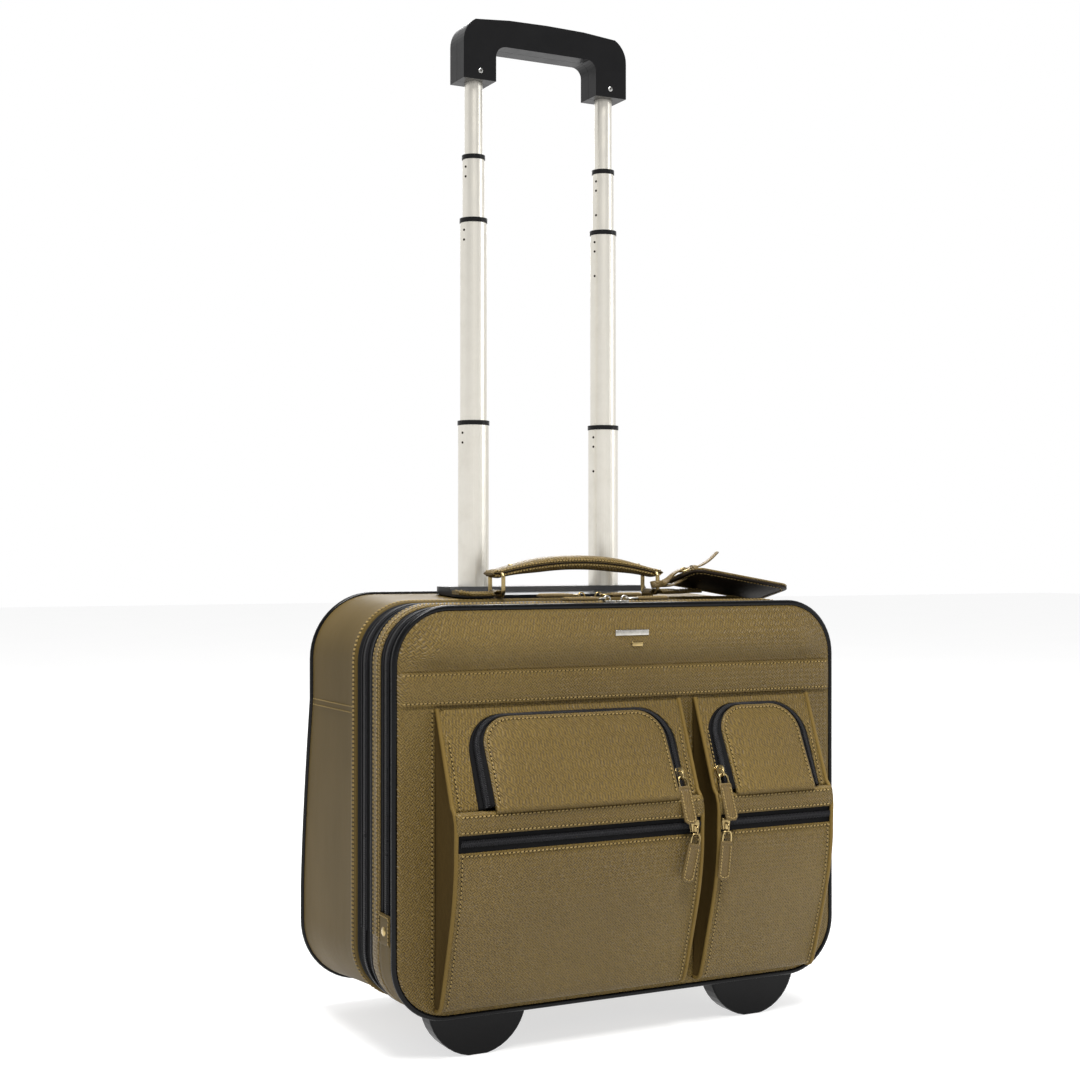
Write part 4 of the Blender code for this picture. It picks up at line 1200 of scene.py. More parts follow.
def pocket_sides(side, left, right):
    """Smooth leather gussets, painted darker as shade, with a rolled edge along the pocket's face."""
    line, _ = profile_rows(None, STRIP_LOW, 48)
    path = [(depth, z) for depth, z in line] + [(-0.0410, 0.2000), (-0.0382, 0.2075)]
    path += [
        (FLAP_HINGE[0] + 0.0320 * share, FLAP_HINGE[1] + 0.0795 * share) for share in np.linspace(0.05, 1.0, 24)
    ]
    path = np.array(path)
    for name, x, inwards in (("left", left, 1), ("right", right, -1)):
        rows = []
        for share in (0.0, 0.08, 0.2, 0.35, 0.5, 0.65, 0.8, 0.92, 1.0):
            depth = path[:, 0] * (1 - share) - 0.0002 * share
            sag = inwards * (0.0016 + 0.0030 * math.sin(math.pi * share) * smoothstep(-path[:, 0] / 0.03))
            rows.append(np.stack([x + sag, FACE_Y + depth, path[:, 1]], 1))
        middle = ((left + right) / 2, FACE_Y - 0.01, 0.17)
        gusset = sheet(
            f"{side}_pocket_gusset_{name}", rows, SHADED_POCKET_GUSSET, "front_panel", middle, thick=0.0010,
            lining=LINING
        )
        edge = np.stack([np.full(len(path), x + inwards * 0.0024), FACE_Y + path[:, 0] + 0.0003, path[:, 1]], 1)
        roll = tube(f"{side}_pocket_edge_{name}", edge, 0.0018, EDGE, "front_panel", sides=10)
        inner = x + inwards * 0.0072
        seam_path = [(depth + out * 0.0008, z) for (depth, z), (out, _) in zip(*profile_rows(None, 0.1765, 60))]
        stitch = np.array([(inner, FACE_Y + depth - 0.0001, z) for depth, z in seam_path])[4:]
        seam("front_panel", stitch, np.tile((0, -1.0, 0.15), (len(stitch), 1)))


# ---------------------------------------------------------------- zip sliders and pulls
def prism(name, outline, low, high, bevel, look, body, matrix):
    """A flat outline with rounded edges, from low to high in its own frame, moved by the matrix."""
    work = bmesh.new()
    bottom = [work.verts.new((x, y, low)) for x, y in outline]
    top = [work.verts.new((x, y, high)) for x, y in outline]
    work.faces.new(bottom[::-1])
    work.faces.new(top)
    rims = []
    for i in range(len(outline)):
        j = (i + 1) % len(outline)
        work.faces.new((bottom[i], bottom[j], top[j], top[i]))
        rims += [(bottom[i], bottom[j]), (top[i], top[j])]
    bmesh.ops.recalc_face_normals(work, faces=work.faces)
    edges = [work.edges.get(pair) for pair in rims]
    bmesh.ops.bevel(work, geom=edges, offset=bevel, segments=3, profile=0.5, affect="EDGES", clamp_overlap=True)
    bmesh.ops.triangulate(work, faces=[face for face in work.faces if len(face.verts) > 4])
    bmesh.ops.transform(work, matrix=matrix, verts=work.verts)
    mesh = bpy.data.meshes.new(name)
    work.to_mesh(mesh)
    work.free()
    mesh.materials.append(look)
    mesh.shade_smooth()
    obj = bpy.data.objects.new(name, mesh)
    bpy.context.scene.collection.objects.link(obj)
    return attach(sharpened(obj, 40), body)


def moved(points, matrix):
    return np.array([tuple(matrix @ Vector(point)) for point in points])


def zip_slider(name, place, axes, look, reach, height, slant=0.0):
    """A slider with its bridge on one body, and a wire ring and stitched leather tab on the pull's body.
    The frame's own Y runs along the zip, the pull hangs along -Y, and Z stands off the zip."""
    matrix = Matrix.Translation(place) @ axes.to_4x4()
    body = f"{name}_slider"
    outline = [(0.0030, -0.0052), (0.0036, -0.0020), (0.0041, 0.0020), (0.0036, 0.0046), (0.0012, 0.0053)]
    outline = outline + [(-x, y) for x, y in reversed(outline)]
    half = height / 2
    plate = prism(f"{name}_slider_plate", outline, half - 0.0016, half, 0.0004, look, body, matrix)
    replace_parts(plate, body)
    under = prism(f"{name}_slider_base", outline, -half, -half + 0.0012, 0.0003, look, body, matrix)
    post = [(0, 0.0036, -half + 0.0006), (0, 0.0040, 0.0), (0, 0.0036, half - 0.0006)]
    tube(f"{name}_slider_post", moved(post, matrix), 0.0009, look, body, sides=8)
    turns = np.linspace(0, math.pi, 12)
    bridge = [
        (
            0.0, 0.0034 * math.cos(t) - 0.0004 + reach[0] * 0.35,
            half - 0.0004 + (reach[1] + 0.0026) * math.sin(t) ** 0.7
        ) for t in turns
    ]
    tube(f"{name}_slider_bridge", moved(bridge, matrix), 0.00075, look, body, sides=8)

    hinge = Matrix.Translation(Vector(place) + axes @ Vector((0, reach[0], half + reach[1]))) @ axes.to_4x4()
    hinge = hinge @ Matrix.Rotation(slant, 4, "Z")
    pull = f"{name}_pull"
    ring = [
        (0.0, 0.0008), (0.0028, 0.0002), (0.0040, -0.0022), (0.0042, -0.0060), (0.0038, -0.0094), (0.0, -0.0100)
    ]
    ring = ring + [(-x, y) for x, y in ring[-2:0:-1]]
    ring = spline([(x, y, 0.0) for x, y in ring], 4, closed=True)
    loop = tube(f"{name}_pull_ring", moved(ring, hinge), 0.00085, look, pull, closed=True, sides=8)
    tab_outline = [(0.0058, -0.0078), (0.0060, -0.0100), (0.0060, -0.0372), (0.0032, -0.0400)]
    tab_outline = tab_outline + [(-x, y) for x, y in reversed(tab_outline)]
    tab = prism(f"{name}_pull_leather", tab_outline, -0.0011, 0.0011, 0.0006, PULL_LEATHER, pull, hinge)
    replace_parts(tab, pull)
    border = [
        (0.0042, -0.0110), (0.0042, -0.0364), (0.0024, -0.0382), (-0.0024, -0.0382), (-0.0042, -0.0364),
        (-0.0042, -0.0110)
    ]
    for face in (1, -1):
        line = evenly([(x, y, face * 0.00105) for x, y in border], 0.0008)[0]
        out = hinge.to_3x3() @ Vector((0, 0, face))
        seam(pull, moved(line, hinge), np.tile(tuple(out), (len(line), 1)), pitch=0.0027)
    clamp = prism(
        f"{name}_pull_fold", [(0.0046, -0.0076), (0.0046, -0.0104), (-0.0046, -0.0104), (-0.0046, -0.0076)],
        -0.0016, 0.0016, 0.0008, PULL_LEATHER, pull, hinge
    )


def spline(points, steps, closed=False):
    """Catmull-Rom through the points."""
    points = np.asarray(points, float)
    count = len(points)
    made = []
    for i in range(count if closed else count - 1):
        if closed:
            a, b, c, d = (points[(i + k) % count] for k in (-1, 0, 1, 2))
        else:
            a, b, c, d = points[max(0, i - 1)], points[i], points[i + 1], points[min(count - 1, i + 2)]
        for step in range(steps):
            t = step / steps
            made.append(
                0.5 * (
                    (2 * b) + (c - a) * t + (2 * a - 5 * b + 4 * c - d) * t**2 + (3 * b - a - 3 * c + d) * t**3
                )
            )
    return np.array(made if closed else made + [points[-1]])


def leaning(angle):
    return Matrix(((1, 0, 0), (0, math.sin(angle), -math.cos(angle)), (0, math.cos(angle), math.sin(angle))))


def zip_sliders():
    for side, sign in (("left", -1), ("right", 1)):
        outward_frame = Matrix(((0, -sign, 0), (sign, 0, 0), (0, 0, 1)))
        for zip_name, depth, far, look, slot in (
            ("main_zip", MAIN_ZIP_MIDDLE, SHELL_FRONT, BRASS, "brass"),
            ("front_zip", FRONT_ZIP_MIDDLE, FRONT_ZIP_BACK, NICKEL, "nickel"),
        ):
            top = case_outline(far)[2] - RECESS
            place = Vector((sign * 0.0065, FACE_Y + depth, top + 0.0006 + 0.0022))
            zip_slider(
                f"{zip_name}_{side}", place, outward_frame, look, (-0.0055, 0.0006 + 0.0011), 0.0044
            )
    slope = leaning(SLOPE)
    for side, flap_x, straight_x in (("left", 0.0330, 0.0400), ("right", 0.0740, 0.0710)):
        hinge = Vector((flap_x, FACE_Y + FLAP_HINGE[0], FLAP_HINGE[1]))
        place = hinge + slope @ Vector((0, 0.0180, 0.0024))
        zip_slider(f"{side}_flap_zip", place, slope, BRASS, (-0.004, 0.0016), 0.0040)
        place = Vector((straight_x, FACE_Y - 0.0434, 0.1835))
        slant = math.radians(-14 if side == "left" else -6)
        zip_slider(f"{side}_pocket_zip", place, leaning(0.0), BRASS, (-0.0070, 0.0016), 0.0040, slant)


# ---------------------------------------------------------------- carry handle
def handle():
    """Rolled leather with a seam along its front and back, flattened round the wire loops."""
    stations = np.linspace(-1, 1, 57)
    rows, front, back = [], [], []
    for share in stations:
        x = (LOOP_X + 0.0088) * math.sin(share * math.pi / 2)
        flat = min(1.0, abs(x) / LOOP_X)
        over = max(0.0, (abs(x) - LOOP_X + 0.0040) / 0.0128)
        centre = LOOP_HIGH + 0.0095 * (1 - flat**2) + 0.0006
        thick = 0.0044 + 0.0021 * (1 - smoothstep((flat - 0.45) / 0.50))
        thick *= math.sqrt(max(0.05, 1 - over**2.4))
        wide = 0.0106 - 0.0010 * smoothstep((flat - 0.5) / 0.4)
        ring = []
        for i in range(28):
            angle = 2 * math.pi * i / 28
            c, s = math.cos(angle), math.sin(angle)
            power = 0.72
            y = wide * math.copysign(abs(c) ** power, c)
            z = thick * math.copysign(abs(s) ** power, s)
            pinch = 0.0009 * math.exp(-((s / 0.16) ** 2))
            y -= math.copysign(pinch, c)
            ring.append((x, HANDLE_Y + y, centre + z))
        rows.append(ring)
        front.append((x, HANDLE_Y - wide + 0.0009, centre))
        back.append((x, HANDLE_Y + wide - 0.0009, centre))
    rows = np.array(rows)
    count = rows.shape[1]
    faces = quads(len(rows), count, wrap=True)
    faces += [tuple(range(count)), tuple((len(rows) - 1) * count + i for i in range(count))[::-1]]
    obj = outward(piece("carry_handle_leather", rows, faces, LEATHER, "carry_handle"))
    sharpened(obj, 60)
    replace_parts(obj, "carry_handle")
    inner = slice(4, -4)
    for line, sign in ((np.array(front)[inner], -1), (np.array(back)[inner], 1)):
        # A dark cord along each seam line: painted shade of the seam's crease.
        ridge = tube(
            f"carry_handle_seam_{'front' if sign < 0 else 'back'}", line + (0, sign * 0.0002, 0), 0.0007,
            SHADE_AND_DARK_RIVETS, "carry_handle", sides=6
        )
        for shift, tilt in ((0.0021, 0.35), (-0.0021, -0.35)):
            seam(
                "carry_handle", line + (0, sign * 0.0003, shift), np.tile((0, sign, tilt), (len(line), 1)),
                pitch=0.0031
            )
    base, shapes = dome(0.0024, 0.0011, 16)
    for x in (-0.0655, 0.0655):
        flat = abs(x) / LOOP_X
        z = LOOP_HIGH + 0.0095 * (1 - flat**2) + 0.0006 + 0.0044 + 0.0021 * (
            1 - smoothstep((flat - 0.45) / 0.5)
        )
        rivets.add("carry_handle", base, shapes, [(x, HANDLE_Y, z - 0.0002)], [np.eye(3)])


def handle_fittings():
    for side, name in ((-1, "left"), (1, "right")):
        x = side * LOOP_X
        near, far = (FACE_Y + depth for depth in LOOP_DEPTHS)
        corners = [(near, LOOP_LOW), (far, LOOP_LOW), (far, LOOP_HIGH), (near, LOOP_HIGH)]
        path = []
        for index, (y, z) in enumerate(corners):
            before, after = corners[index - 1], corners[(index + 1) % 4]
            for step in range(7):
                t = step / 6
                a = np.array((y, z)) + 0.0035 * unit(np.array(before) - (y, z))
                b = np.array((y, z)) + 0.0035 * unit(np.array(after) - (y, z))
                mid = (1 - t) ** 2 * a + 2 * t * (1 - t) * np.array((y, z)) + t**2 * b
                path.append((x, mid[0], mid[1]))
        path = evenly(path, 0.0012, closed=True)[0]
        loop = tube(
            f"handle_loop_wire_{name}", path, WIRE + 0.0003, BRASS, f"handle_loop_{name}", closed=True, sides=14
        )
        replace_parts(loop, f"handle_loop_{name}")
        tab(side, name, x)


def unit(vector):
    return vector / np.linalg.norm(vector)


def tab(side, name, x):
    """A leather tab folded round the loop's lower bar and stitched down to the case."""
    length = 0.0400 if side < 0 else 0.0520
    top = LOOP_LOW + 0.0041
    arc_points = [
        (
            x - side * 0.0041 * math.cos(math.radians(a)), LOOP_LOW + 0.0041 * math.sin(math.radians(a))
        ) for a in range(-70, 91, 16)
    ]
    run = [
        (
            x + side * share * length, top - 0.0028 * smoothstep(share * 5)
        ) for share in np.linspace(0.06, 1.0, 20)
    ]
    lift = 0.0022 if side < 0 else 0.0008
    outer = arc_points + [
        (px, pz + lift * smoothstep((abs(px - x) - 0.026) / 0.016) + 0.0004) for px, pz in run
    ]
    inner = [
        (px, pz - 0.0032) if abs(px - x) > 0.006 else (px + side * 0.0018, min(pz, LOOP_LOW + 0.0020)) for px,
        pz in outer
    ]
    near, far = FACE_Y + 0.0868, FACE_Y + 0.1022
    rows = []
    for y, shrink in (
        (near, 0.5), (near + 0.0004, 0.1), (near + 0.0015, 0.0), (far - 0.0015, 0.0), (far - 0.0004, 0.1),
        (far, 0.5)
    ):
        ring = [(px, y, pz + (iz - pz) * shrink * 0.5) for (px, pz), (_, iz) in zip(outer, inner)]
        ring += [
            (ix, y, iz + (pz - iz) * shrink * 0.5) for (px, pz), (ix, iz) in reversed(list(zip(outer, inner)))
        ]
        rows.append(ring)
    rows = np.array(rows)
    count = rows.shape[1]
    faces = quads(len(rows), count, wrap=True)
    faces += [tuple(range(count)), tuple((len(rows) - 1) * count + i for i in range(count))[::-1]]
    obj = outward(piece(f"handle_tab_leather_{name}", rows, faces, LEATHER, "case"))
    sharpened(obj, 50)
    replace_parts(obj, f"handle_tab_{name}")
    line = [(px, pz + 0.0001) for px, pz in outer[len(arc_points) + 2 : -1]]
    for y in (near + 0.0024, far - 0.0024):
        seam("case", [(px, y, pz) for px, pz in line], np.tile((0, 0, 1.0), (len(line), 1)), pitch=0.0030)


# ---------------------------------------------------------------- luggage tag
def strap(name, path, side, width, thick, look, body, stitched=False, closed=False):
    """A flat strap along a path of points; side gives its width's direction at each point."""
    path = np.asarray(path, float)
    ahead = directions(path, closed)
    side = np.broadcast_to(np.asarray(side, float), path.shape)
    side = side - ahead * (side * ahead).sum(1, keepdims=True)
    side = side / np.linalg.norm(side, axis=1, keepdims=True)
    up = np.cross(ahead, side)
    widths = np.broadcast_to(np.asarray(width, float), (len(path),))[:, None]
    section = (
        (-0.5, 0.0), (-0.49, 0.35), (-0.44, 0.5), (0.0, 0.56), (0.44, 0.5), (0.49, 0.35), (0.5, 0.0),
        (0.49, -0.35), (0.44, -0.5), (0.0, -0.54), (-0.44, -0.5), (-0.49, -0.35)
    )
    rows = np.stack([path + side * widths * across + up * thick * out for across, out in section], 1)
    count = len(section)
    faces = quads(len(path), count, wrap=True)
    if closed:
        last = (len(path) - 1) * count
        faces += [(last + i, last + (i + 1) % count, (i + 1) % count, i) for i in range(count)]
    else:
        faces += [tuple(range(count)), tuple((len(path) - 1) * count + i for i in range(count))[::-1]]
    obj = outward(piece(name, rows, faces, look, body))
    sharpened(obj, 60)
    if stitched:
        for sign in (-0.34, 0.34):
            seam(body, path + side * widths * sign + up * thick * 0.54, up, pitch=0.0030)
    return obj


def luggage_tag():
    body = "luggage_tag"
    start = Vector((TAG_X, FACE_Y + TAG_DEPTH, TAG_Z))
    slope = Matrix.Rotation(math.radians(TAG_SLOPE), 4, "Y")
    matrix = Matrix.Translation(start) @ slope @ Matrix.Rotation(math.radians(TAG_ROLL), 4, "X")
    length, half = TAG_LENGTH, TAG_HALF
    outline = []
    right, far = length - TAG_CORNER, half - TAG_CORNER
    for cx, cy, first in ((right, far, 0), (TAG_CORNER, far, 90), (TAG_CORNER, -far, 180), (right, -far, 270)):
        for turn in range(0, 91, 10):
            angle = math.radians(first + turn)
            outline.append((cx + TAG_CORNER * math.cos(angle), cy + TAG_CORNER * math.sin(angle)))
    upper = prism("tag_top_leather", outline, 0.0, 0.0020, 0.0007, LEATHER, body, matrix)
    lower = prism(
        "tag_back_leather", outline, -0.0020, -0.0001, 0.0006, UNDERSIDE, body, matrix
    )
    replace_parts(upper, "luggage_tag")
    ring = np.array(outline) - (length / 2, 0)
    ring = ring * ((length / 2 - 0.0036) / (length / 2), (half - 0.0036) / half) + (length / 2, 0)
    for z, out in ((0.00205, 1), (-0.00205, -1)):
        line = moved([(x, y, z) for x, y in ring], matrix)
        normal = matrix.to_3x3() @ Vector((0, 0, out))
        seam(body, line, np.tile(tuple(normal), (len(line), 1)), closed=True)
    y = FACE_Y + TAG_DEPTH
    leg = np.array((LOOP_X, FACE_Y + LOOP_DEPTHS[0], 0.3855))
    around = []
    for degrees in np.linspace(30, 330, 22):
        angle = math.radians(degrees)
        around.append(
            leg + (
                0.0052 * math.cos(angle) - 0.0010, -0.0046 * math.sin(angle) - 0.0006, 0.0006 * math.cos(angle)
            )
        )
    under = spline([around[-1], (0.0900, y + 0.0016, 0.3846), (0.0970, y, 0.3868), (0.1060, y, 0.3912)], 8)
    over = spline(
        [
            (0.1080, y, 0.3960), (0.1010, y, 0.3985), (0.0935, y + 0.0006, 0.3950),
            (0.0872, y + 0.0016, 0.3892), around[0]
        ],
        8
    )
    wrap = np.vstack([over[:-1], around, under[1:]])
    sides = []
    for point in wrap:
        near = math.exp(-(((point[0] - leg[0]) / 0.0085) ** 2))
        sides.append((0.0, 1.0 - near, near))
    obj = strap("tag_strap_loop", wrap, sides, 0.0062, 0.0016, PULL_LEATHER, body)
    tail = spline(
        [
            (0.1020, y - 0.0004, 0.3992), (0.1120, y - 0.0004, 0.4008), (0.1220, y - 0.0004, 0.4026),
            (0.1320, y - 0.0002, 0.4078), (0.1410, y, 0.4150)
        ],
        10
    )
    strap("tag_strap_tail", tail, (0, 1, 0), np.linspace(0.0066, 0.0052, len(tail)), 0.0014, PULL_LEATHER, body)
    back = spline(
        [
            (0.1075, y, 0.3965), (0.1150, y, 0.3978), (0.1215, y, 0.3975), (0.1248, y, 0.3945),
            (0.1240, y, 0.3905), (0.1200, y, 0.3890)
        ],
        8
    )
    strap("tag_strap_back", back, (0, 1, 0), 0.0064, 0.0015, PULL_LEATHER, body)
    buckle = [
        (0.1005, y - 0.0050, 0.3972), (0.1075, y - 0.0050, 0.3996), (0.1075, y + 0.0050, 0.3996),
        (0.1005, y + 0.0050, 0.3972)
    ]
    path = spline(buckle, 6, closed=True)
    tube("tag_buckle", path, 0.0009, BRASS, body, closed=True, sides=8)
    prong = [(0.1075, y, 0.3994), (0.1045, y, 0.4006), (0.1006, y, 0.3988)]
    tube("tag_buckle_prong", spline(prong, 4), 0.0006, BRASS, body, sides=8)
    keeper = [
        (
            0.1150, y + 0.0044 * math.cos(t), 0.3994 + 0.0030 * math.sin(t)
        ) for t in np.linspace(0, 2 * math.pi, 17)[:-1]
    ]
    strap("tag_keeper", keeper, (1, 0, 0), 0.0050, 0.0012, PULL_LEATHER, body, closed=True)
    return obj


# ---------------------------------------------------------------- trolley, base and feet
def hard_parts():
    groups = {
        "trolley_bezel": PLASTIC, "wheel_base": PLASTIC, "grip_front": PLASTIC, "grip_rear": PLASTIC,
        "grip_button": PLASTIC, "foot_left": GLOSS, "foot_right": GLOSS, "axle_left": STEEL, "axle_right": STEEL,
        "wheel_left": RUBBER, "wheel_right": RUBBER, "outer_tube_left": ALUMINIUM, "outer_tube_right": ALUMINIUM,
    }
    for stage in "abcd":
        for side in ("left", "right"):
            groups[f"stage_{stage}_tube_{side}"] = ALUMINIUM
            groups[f"stage_{stage}_collar_{side}"] = PLASTIC
    for name, look in groups.items():
        if name in nodes:
            nodes[name].data.materials.clear()
            nodes[name].data.materials.append(look)


def tube_rivets():
    """Two dark rivets near the top of each stage, on its left, and a lower hole on the right tube, drawn as a dark
    dome: painted shade of the hole.
    """
    base, shapes = dome(0.0012, 0.0006, 10)
    for stage, radius in (("a", 0.01425), ("b", 0.01235), ("c", 0.01025)):
        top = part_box(f"stage_{stage}_collar_left")[1].z
        for side in (-1, 1):
            spots = [0.0115, 0.0205] + ([0.0440] if side > 0 else [])
            for drop in spots:
                angle = math.radians(200)
                out = np.array((math.cos(angle), math.sin(angle), 0.0))
                place = np.array((side * TUBE_X, FACE_Y + TUBE_DEPTH, top - drop)) + out * (radius - 0.0001)
                axes = np.array([np.cross((0, 0, 1.0), out), (0, 0, 1.0), out])
                rivets.add(f"stage_{stage}", base, shapes, [place], [axes], looks=[2] * len(shapes))


def screws():
    """Cross-head screws in the grip's legs."""
    spots = [(x, TUBE_DEPTH - 0.0153, 0.8580, "stage_d", 0.0024) for x in (-0.0685, 0.0685)]
    for x, depth, z, body, radius in spots:
        base, shapes = dome(radius, 0.0006, 18)
        out = np.array((0, -1.0, 0))
        place = np.array((x, FACE_Y + depth + 0.0001, z))
        axes = np.array([(1.0, 0, 0), (0, 0, 1.0), out])
        rivets.add(body, base, shapes, [place], [axes], looks=[1] * len(shapes))
        # The cross slot is drawn as two dark bars on the head: painted shade of the slot.
        for turn in (0, 1):
            slot_points, slot_faces = capsule(radius * 1.2, 0.00035, 0.0003)
            cross = np.array([axes[turn], np.cross(out, axes[turn]), out])
            rivets.add(
                body, slot_points, slot_faces, [place + out * 0.00055], [cross], looks=[2] * len(slot_faces)
            )


def wheel_details():
    """Tread lines round each wheel, and a rim and spokes on both of its faces."""
    for name in ("wheel_left", "wheel_right"):
        low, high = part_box(name)
        centre = (low + high) / 2
        radius, half = (high.z - low.z) / 2, (high.x - low.x) / 2

        def circle(reach, x):
            turns = np.linspace(0, 2 * math.pi, 49)[:-1]
            return [
                (centre.x + x, centre.y + reach * math.cos(t), centre.z + reach * math.sin(t)) for t in turns
            ]

        for index, x in enumerate((-0.0055, 0.0, 0.0055)):
            tube(
                    f"{name}_tread_{index}", circle(radius - 0.0005, x), 0.0005, RUBBER, name, closed=True,
                    sides=6
                )
        for face in (-1, 1):
            side = "inner" if face * centre.x < 0 else "outer"
            x = face * (half - 0.0003)
            for index, reach in enumerate((0.0070, 0.0185)):
                tube(
                        f"{name}_rim_{side}_{index}", circle(reach, x), 0.0009, PLASTIC, name, closed=True,
                        sides=8
                    )
            for index in range(6):
                a = index * math.pi / 3
                line = [
                    (
                        centre.x + x, centre.y + r * math.cos(a), centre.z + r * math.sin(a)
                    ) for r in (0.0070, 0.0130, 0.0185)
                ]
                tube(f"{name}_spoke_{side}_{index}", line, 0.0010, PLASTIC, name, sides=8)


def button_ribs():
    """Finger ridges across the release button."""
    low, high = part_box("grip_button")
    middle = (low + high) / 2
    ribs = Many("button_ribs", [PLASTIC])
    base, shapes = capsule(0.0086, 0.0006, 0.0005)
    places = [(middle.x + shift * 0.0036, middle.y, high.z) for shift in range(-4, 5)]
    ribs.add(
        "grip_button", base, shapes, places, [np.array([(0, 1.0, 0), (-1.0, 0, 0), (0, 0, 1.0)])] * len(places)
    )
    ribs.finish()


def compartment():
    """The lining that hides the trolley tubes, with two crossed straps and their buckle."""
    points, faces = rounded_sheet(0.1450, (0.0050, 0.0080, 0.0120, 0.0180, 0.0260, 0.0360))
    x, z, inset = points.T
    y = FACE_Y + 0.1462 - 0.0016 * smoothstep((inset - 0.005) / 0.03)
    piece("compartment_back", np.stack([x, y, z], 1), faces, LINING, "case", (0, 1.0, 0.2))
    for name, ends in (("a", ((-0.150, 0.330), (0.150, 0.085))), ("b", ((0.150, 0.330), (-0.150, 0.085)))):
        (x0, z0), (x1, z1) = ends
        lift = 0.1432 if name == "a" else 0.1420
        path = [(x0 + (x1 - x0) * t, FACE_Y + lift, z0 + (z1 - z0) * t) for t in np.linspace(0, 1, 30)]
        strap(f"compartment_strap_{name}", path, (0.0, 0.0, 1.0), 0.0260, 0.0010, ZIP, "case")
    buckle = bar(
        "compartment_buckle", (0.0, FACE_Y + 0.1405, 0.2075), (0.046, 0.0045, 0.034), 0.0015, PLASTIC, "case"
    )


def corner_patches():
    """A leather patch with a brass rivet, stitched over each end of the front zip."""
    base, shapes = dome(0.0040, 0.0013, 20)
    for side, name in ((-1, "left"), (1, "right")):
        x = side * 0.2150
        out = np.array((side, 0.0, 0.0))
        rows = []
        for z in np.linspace(0.0965, 0.1215, 9):
            shrink = 0.0010 if z > 0.121 else 0.0
            depths = np.array([0.0092, 0.0096, 0.0104, 0.0130, 0.0200, 0.0270, 0.0310, 0.0326, 0.0330])
            lifts = np.array([0.0001, 0.0006, 0.0009, 0.0010, 0.0010, 0.0010, 0.0009, 0.0007, 0.0002]) - shrink
            rows.append(np.stack([x + side * lifts, FACE_Y + depths, np.full(9, z)], 1))
        patch = sheet(f"zip_end_patch_{name}", rows, SHADED_SIDE_LEATHER, "laptop_section", INSIDE, thick=0.0009)
        line = [(x + side * 0.0010, FACE_Y + 0.0112, z) for z in np.linspace(0.0975, 0.1190, 12)]
        line += [(x + side * 0.0010, FACE_Y + depth, 0.1196) for depth in np.linspace(0.0120, 0.0300, 12)]
        line += [(x + side * 0.0010, FACE_Y + 0.0306, z) for z in np.linspace(0.1190, 0.0975, 12)]
        seam("laptop_section", line, np.tile(out, (len(line), 1)), pitch=0.0032)
        place = np.array((x + side * 0.0009, FACE_Y + 0.0212, 0.1075))
        axes = np.array([(0, 1.0, 0), np.cross(out, (0, 1.0, 0)), out])
        rivets.add("laptop_section", base, shapes, [place], [axes])


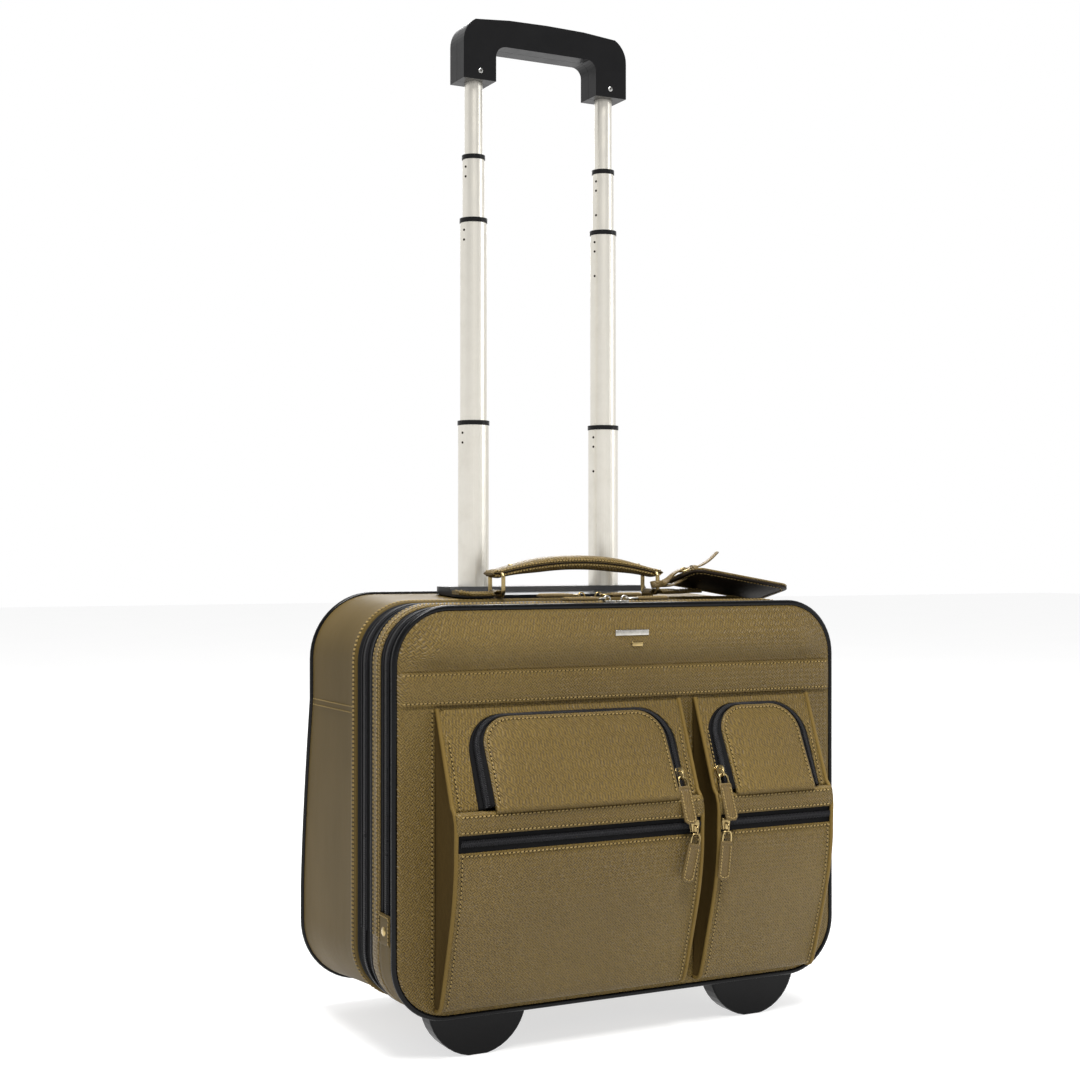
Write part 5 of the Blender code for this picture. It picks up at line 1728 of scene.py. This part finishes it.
# ---------------------------------------------------------------- room
def room():
    size = ROOM_HALF
    floor = piece(
        "floor", [(-size, -size, 0), (size, -size, 0), (size, size, 0), (-size, size, 0)], [(0, 1, 2, 3)],
        floor_look(), None
    )
    world = bpy.data.worlds.new("studio")
    world.use_nodes = True
    tree = world.node_tree
    parts = tree.nodes.new("ShaderNodeSeparateXYZ")
    tree.links.new(tree.nodes.new("ShaderNodeTexCoord").outputs["Generated"], parts.inputs[0])
    # white all round the horizon, and darker overhead in front, so that black parts and metal keep their contrast
    shares = []
    for axis, low, high in (("Y", 0.45, -0.45), ("Z", 0.10, 0.42)):
        ramp = tree.nodes.new("ShaderNodeMapRange")
        ramp.interpolation_type = "SMOOTHSTEP"
        ramp.inputs["From Min"].default_value, ramp.inputs["From Max"].default_value = low, high
        tree.links.new(parts.outputs[axis], ramp.inputs["Value"])
        shares.append(ramp.outputs["Result"])
    product, strength = tree.nodes.new("ShaderNodeMath"), tree.nodes.new("ShaderNodeMath")
    product.operation, strength.operation = "MULTIPLY", "MULTIPLY_ADD"
    for share, socket in zip(shares, product.inputs):
        tree.links.new(share, socket)
    tree.links.new(product.outputs[0], strength.inputs[0])
    strength.inputs[1].default_value, strength.inputs[2].default_value = -0.78, 1.0
    tree.links.new(strength.outputs[0], tree.nodes["Background"].inputs["Strength"])
    tree.nodes["Background"].inputs["Color"].default_value = (1.0, 1.0, 1.0, 1.0)
    bpy.context.scene.world = world
    for name, place, target, size, power, tint in (
        ("key", (-0.5, -1.8, 3.1), (0.0, 0.0, 0.30), 1.1, 132.0, (1.0, 0.985, 0.96)),
        ("fill", (2.6, -1.6, 1.2), (0.0, 0.0, 0.35), 1.2, 12.0, (0.97, 0.985, 1.0)),
        ("top", (0.1, 0.1, 2.8), (0.0, 0.0, 0.30), 1.2, 88.0, (1.0, 1.0, 1.0)),
        ("back", (1.2, 2.6, 1.7), (0.0, 0.0, 0.30), 1.2, 30.0, (1.0, 1.0, 1.0)),
    ):
        data = bpy.data.lights.new(name, "AREA")
        data.energy, data.size, data.color = power, size, tint
        light = bpy.data.objects.new(name, data)
        light.location = place
        light.rotation_euler = (Vector(target) - Vector(place)).to_track_quat("-Z", "Y").to_euler()
        bpy.context.scene.collection.objects.link(light)
    camera = bpy.data.objects.new("camera", bpy.data.cameras.new("camera"))
    camera.data.sensor_width, camera.data.lens = SENSOR_MM, LENS_MM
    camera.location = CAMERA_PLACE
    camera.rotation_euler = (math.pi / 2 + CAMERA_PITCH, 0.0, CAMERA_TURN)
    bpy.context.scene.collection.objects.link(camera)
    bpy.context.scene.camera = camera
    bpy.context.scene.view_settings.view_transform = "Standard"


def floor_look():
    look = Look(
        "studio_floor", Specular_IOR_Level=0.0, Emission_Color=(1.0, 1.0, 1.0, 1.0), Emission_Strength=0.66
    )
    look.colour(look.mix(look.noise(3.0), (0.42, 0.42, 0.42, 1), (0.45, 0.45, 0.45, 1)))
    look.rough(look.noise(20.0), 0.6, 0.8)
    return look.material


hard_parts()
front_face()
plates()
side_zips()
section_skin()
lower_gusset()
rear_skin()
for pocket_side in POCKETS:
    pocket(pocket_side)
zip_sliders()
handle()
handle_fittings()
luggage_tag()
tube_rivets()
screws()
corner_patches()
wheel_details()
button_ribs()
compartment()
for gathered in (stitches, teeth, rivets):
    gathered.finish()
room()
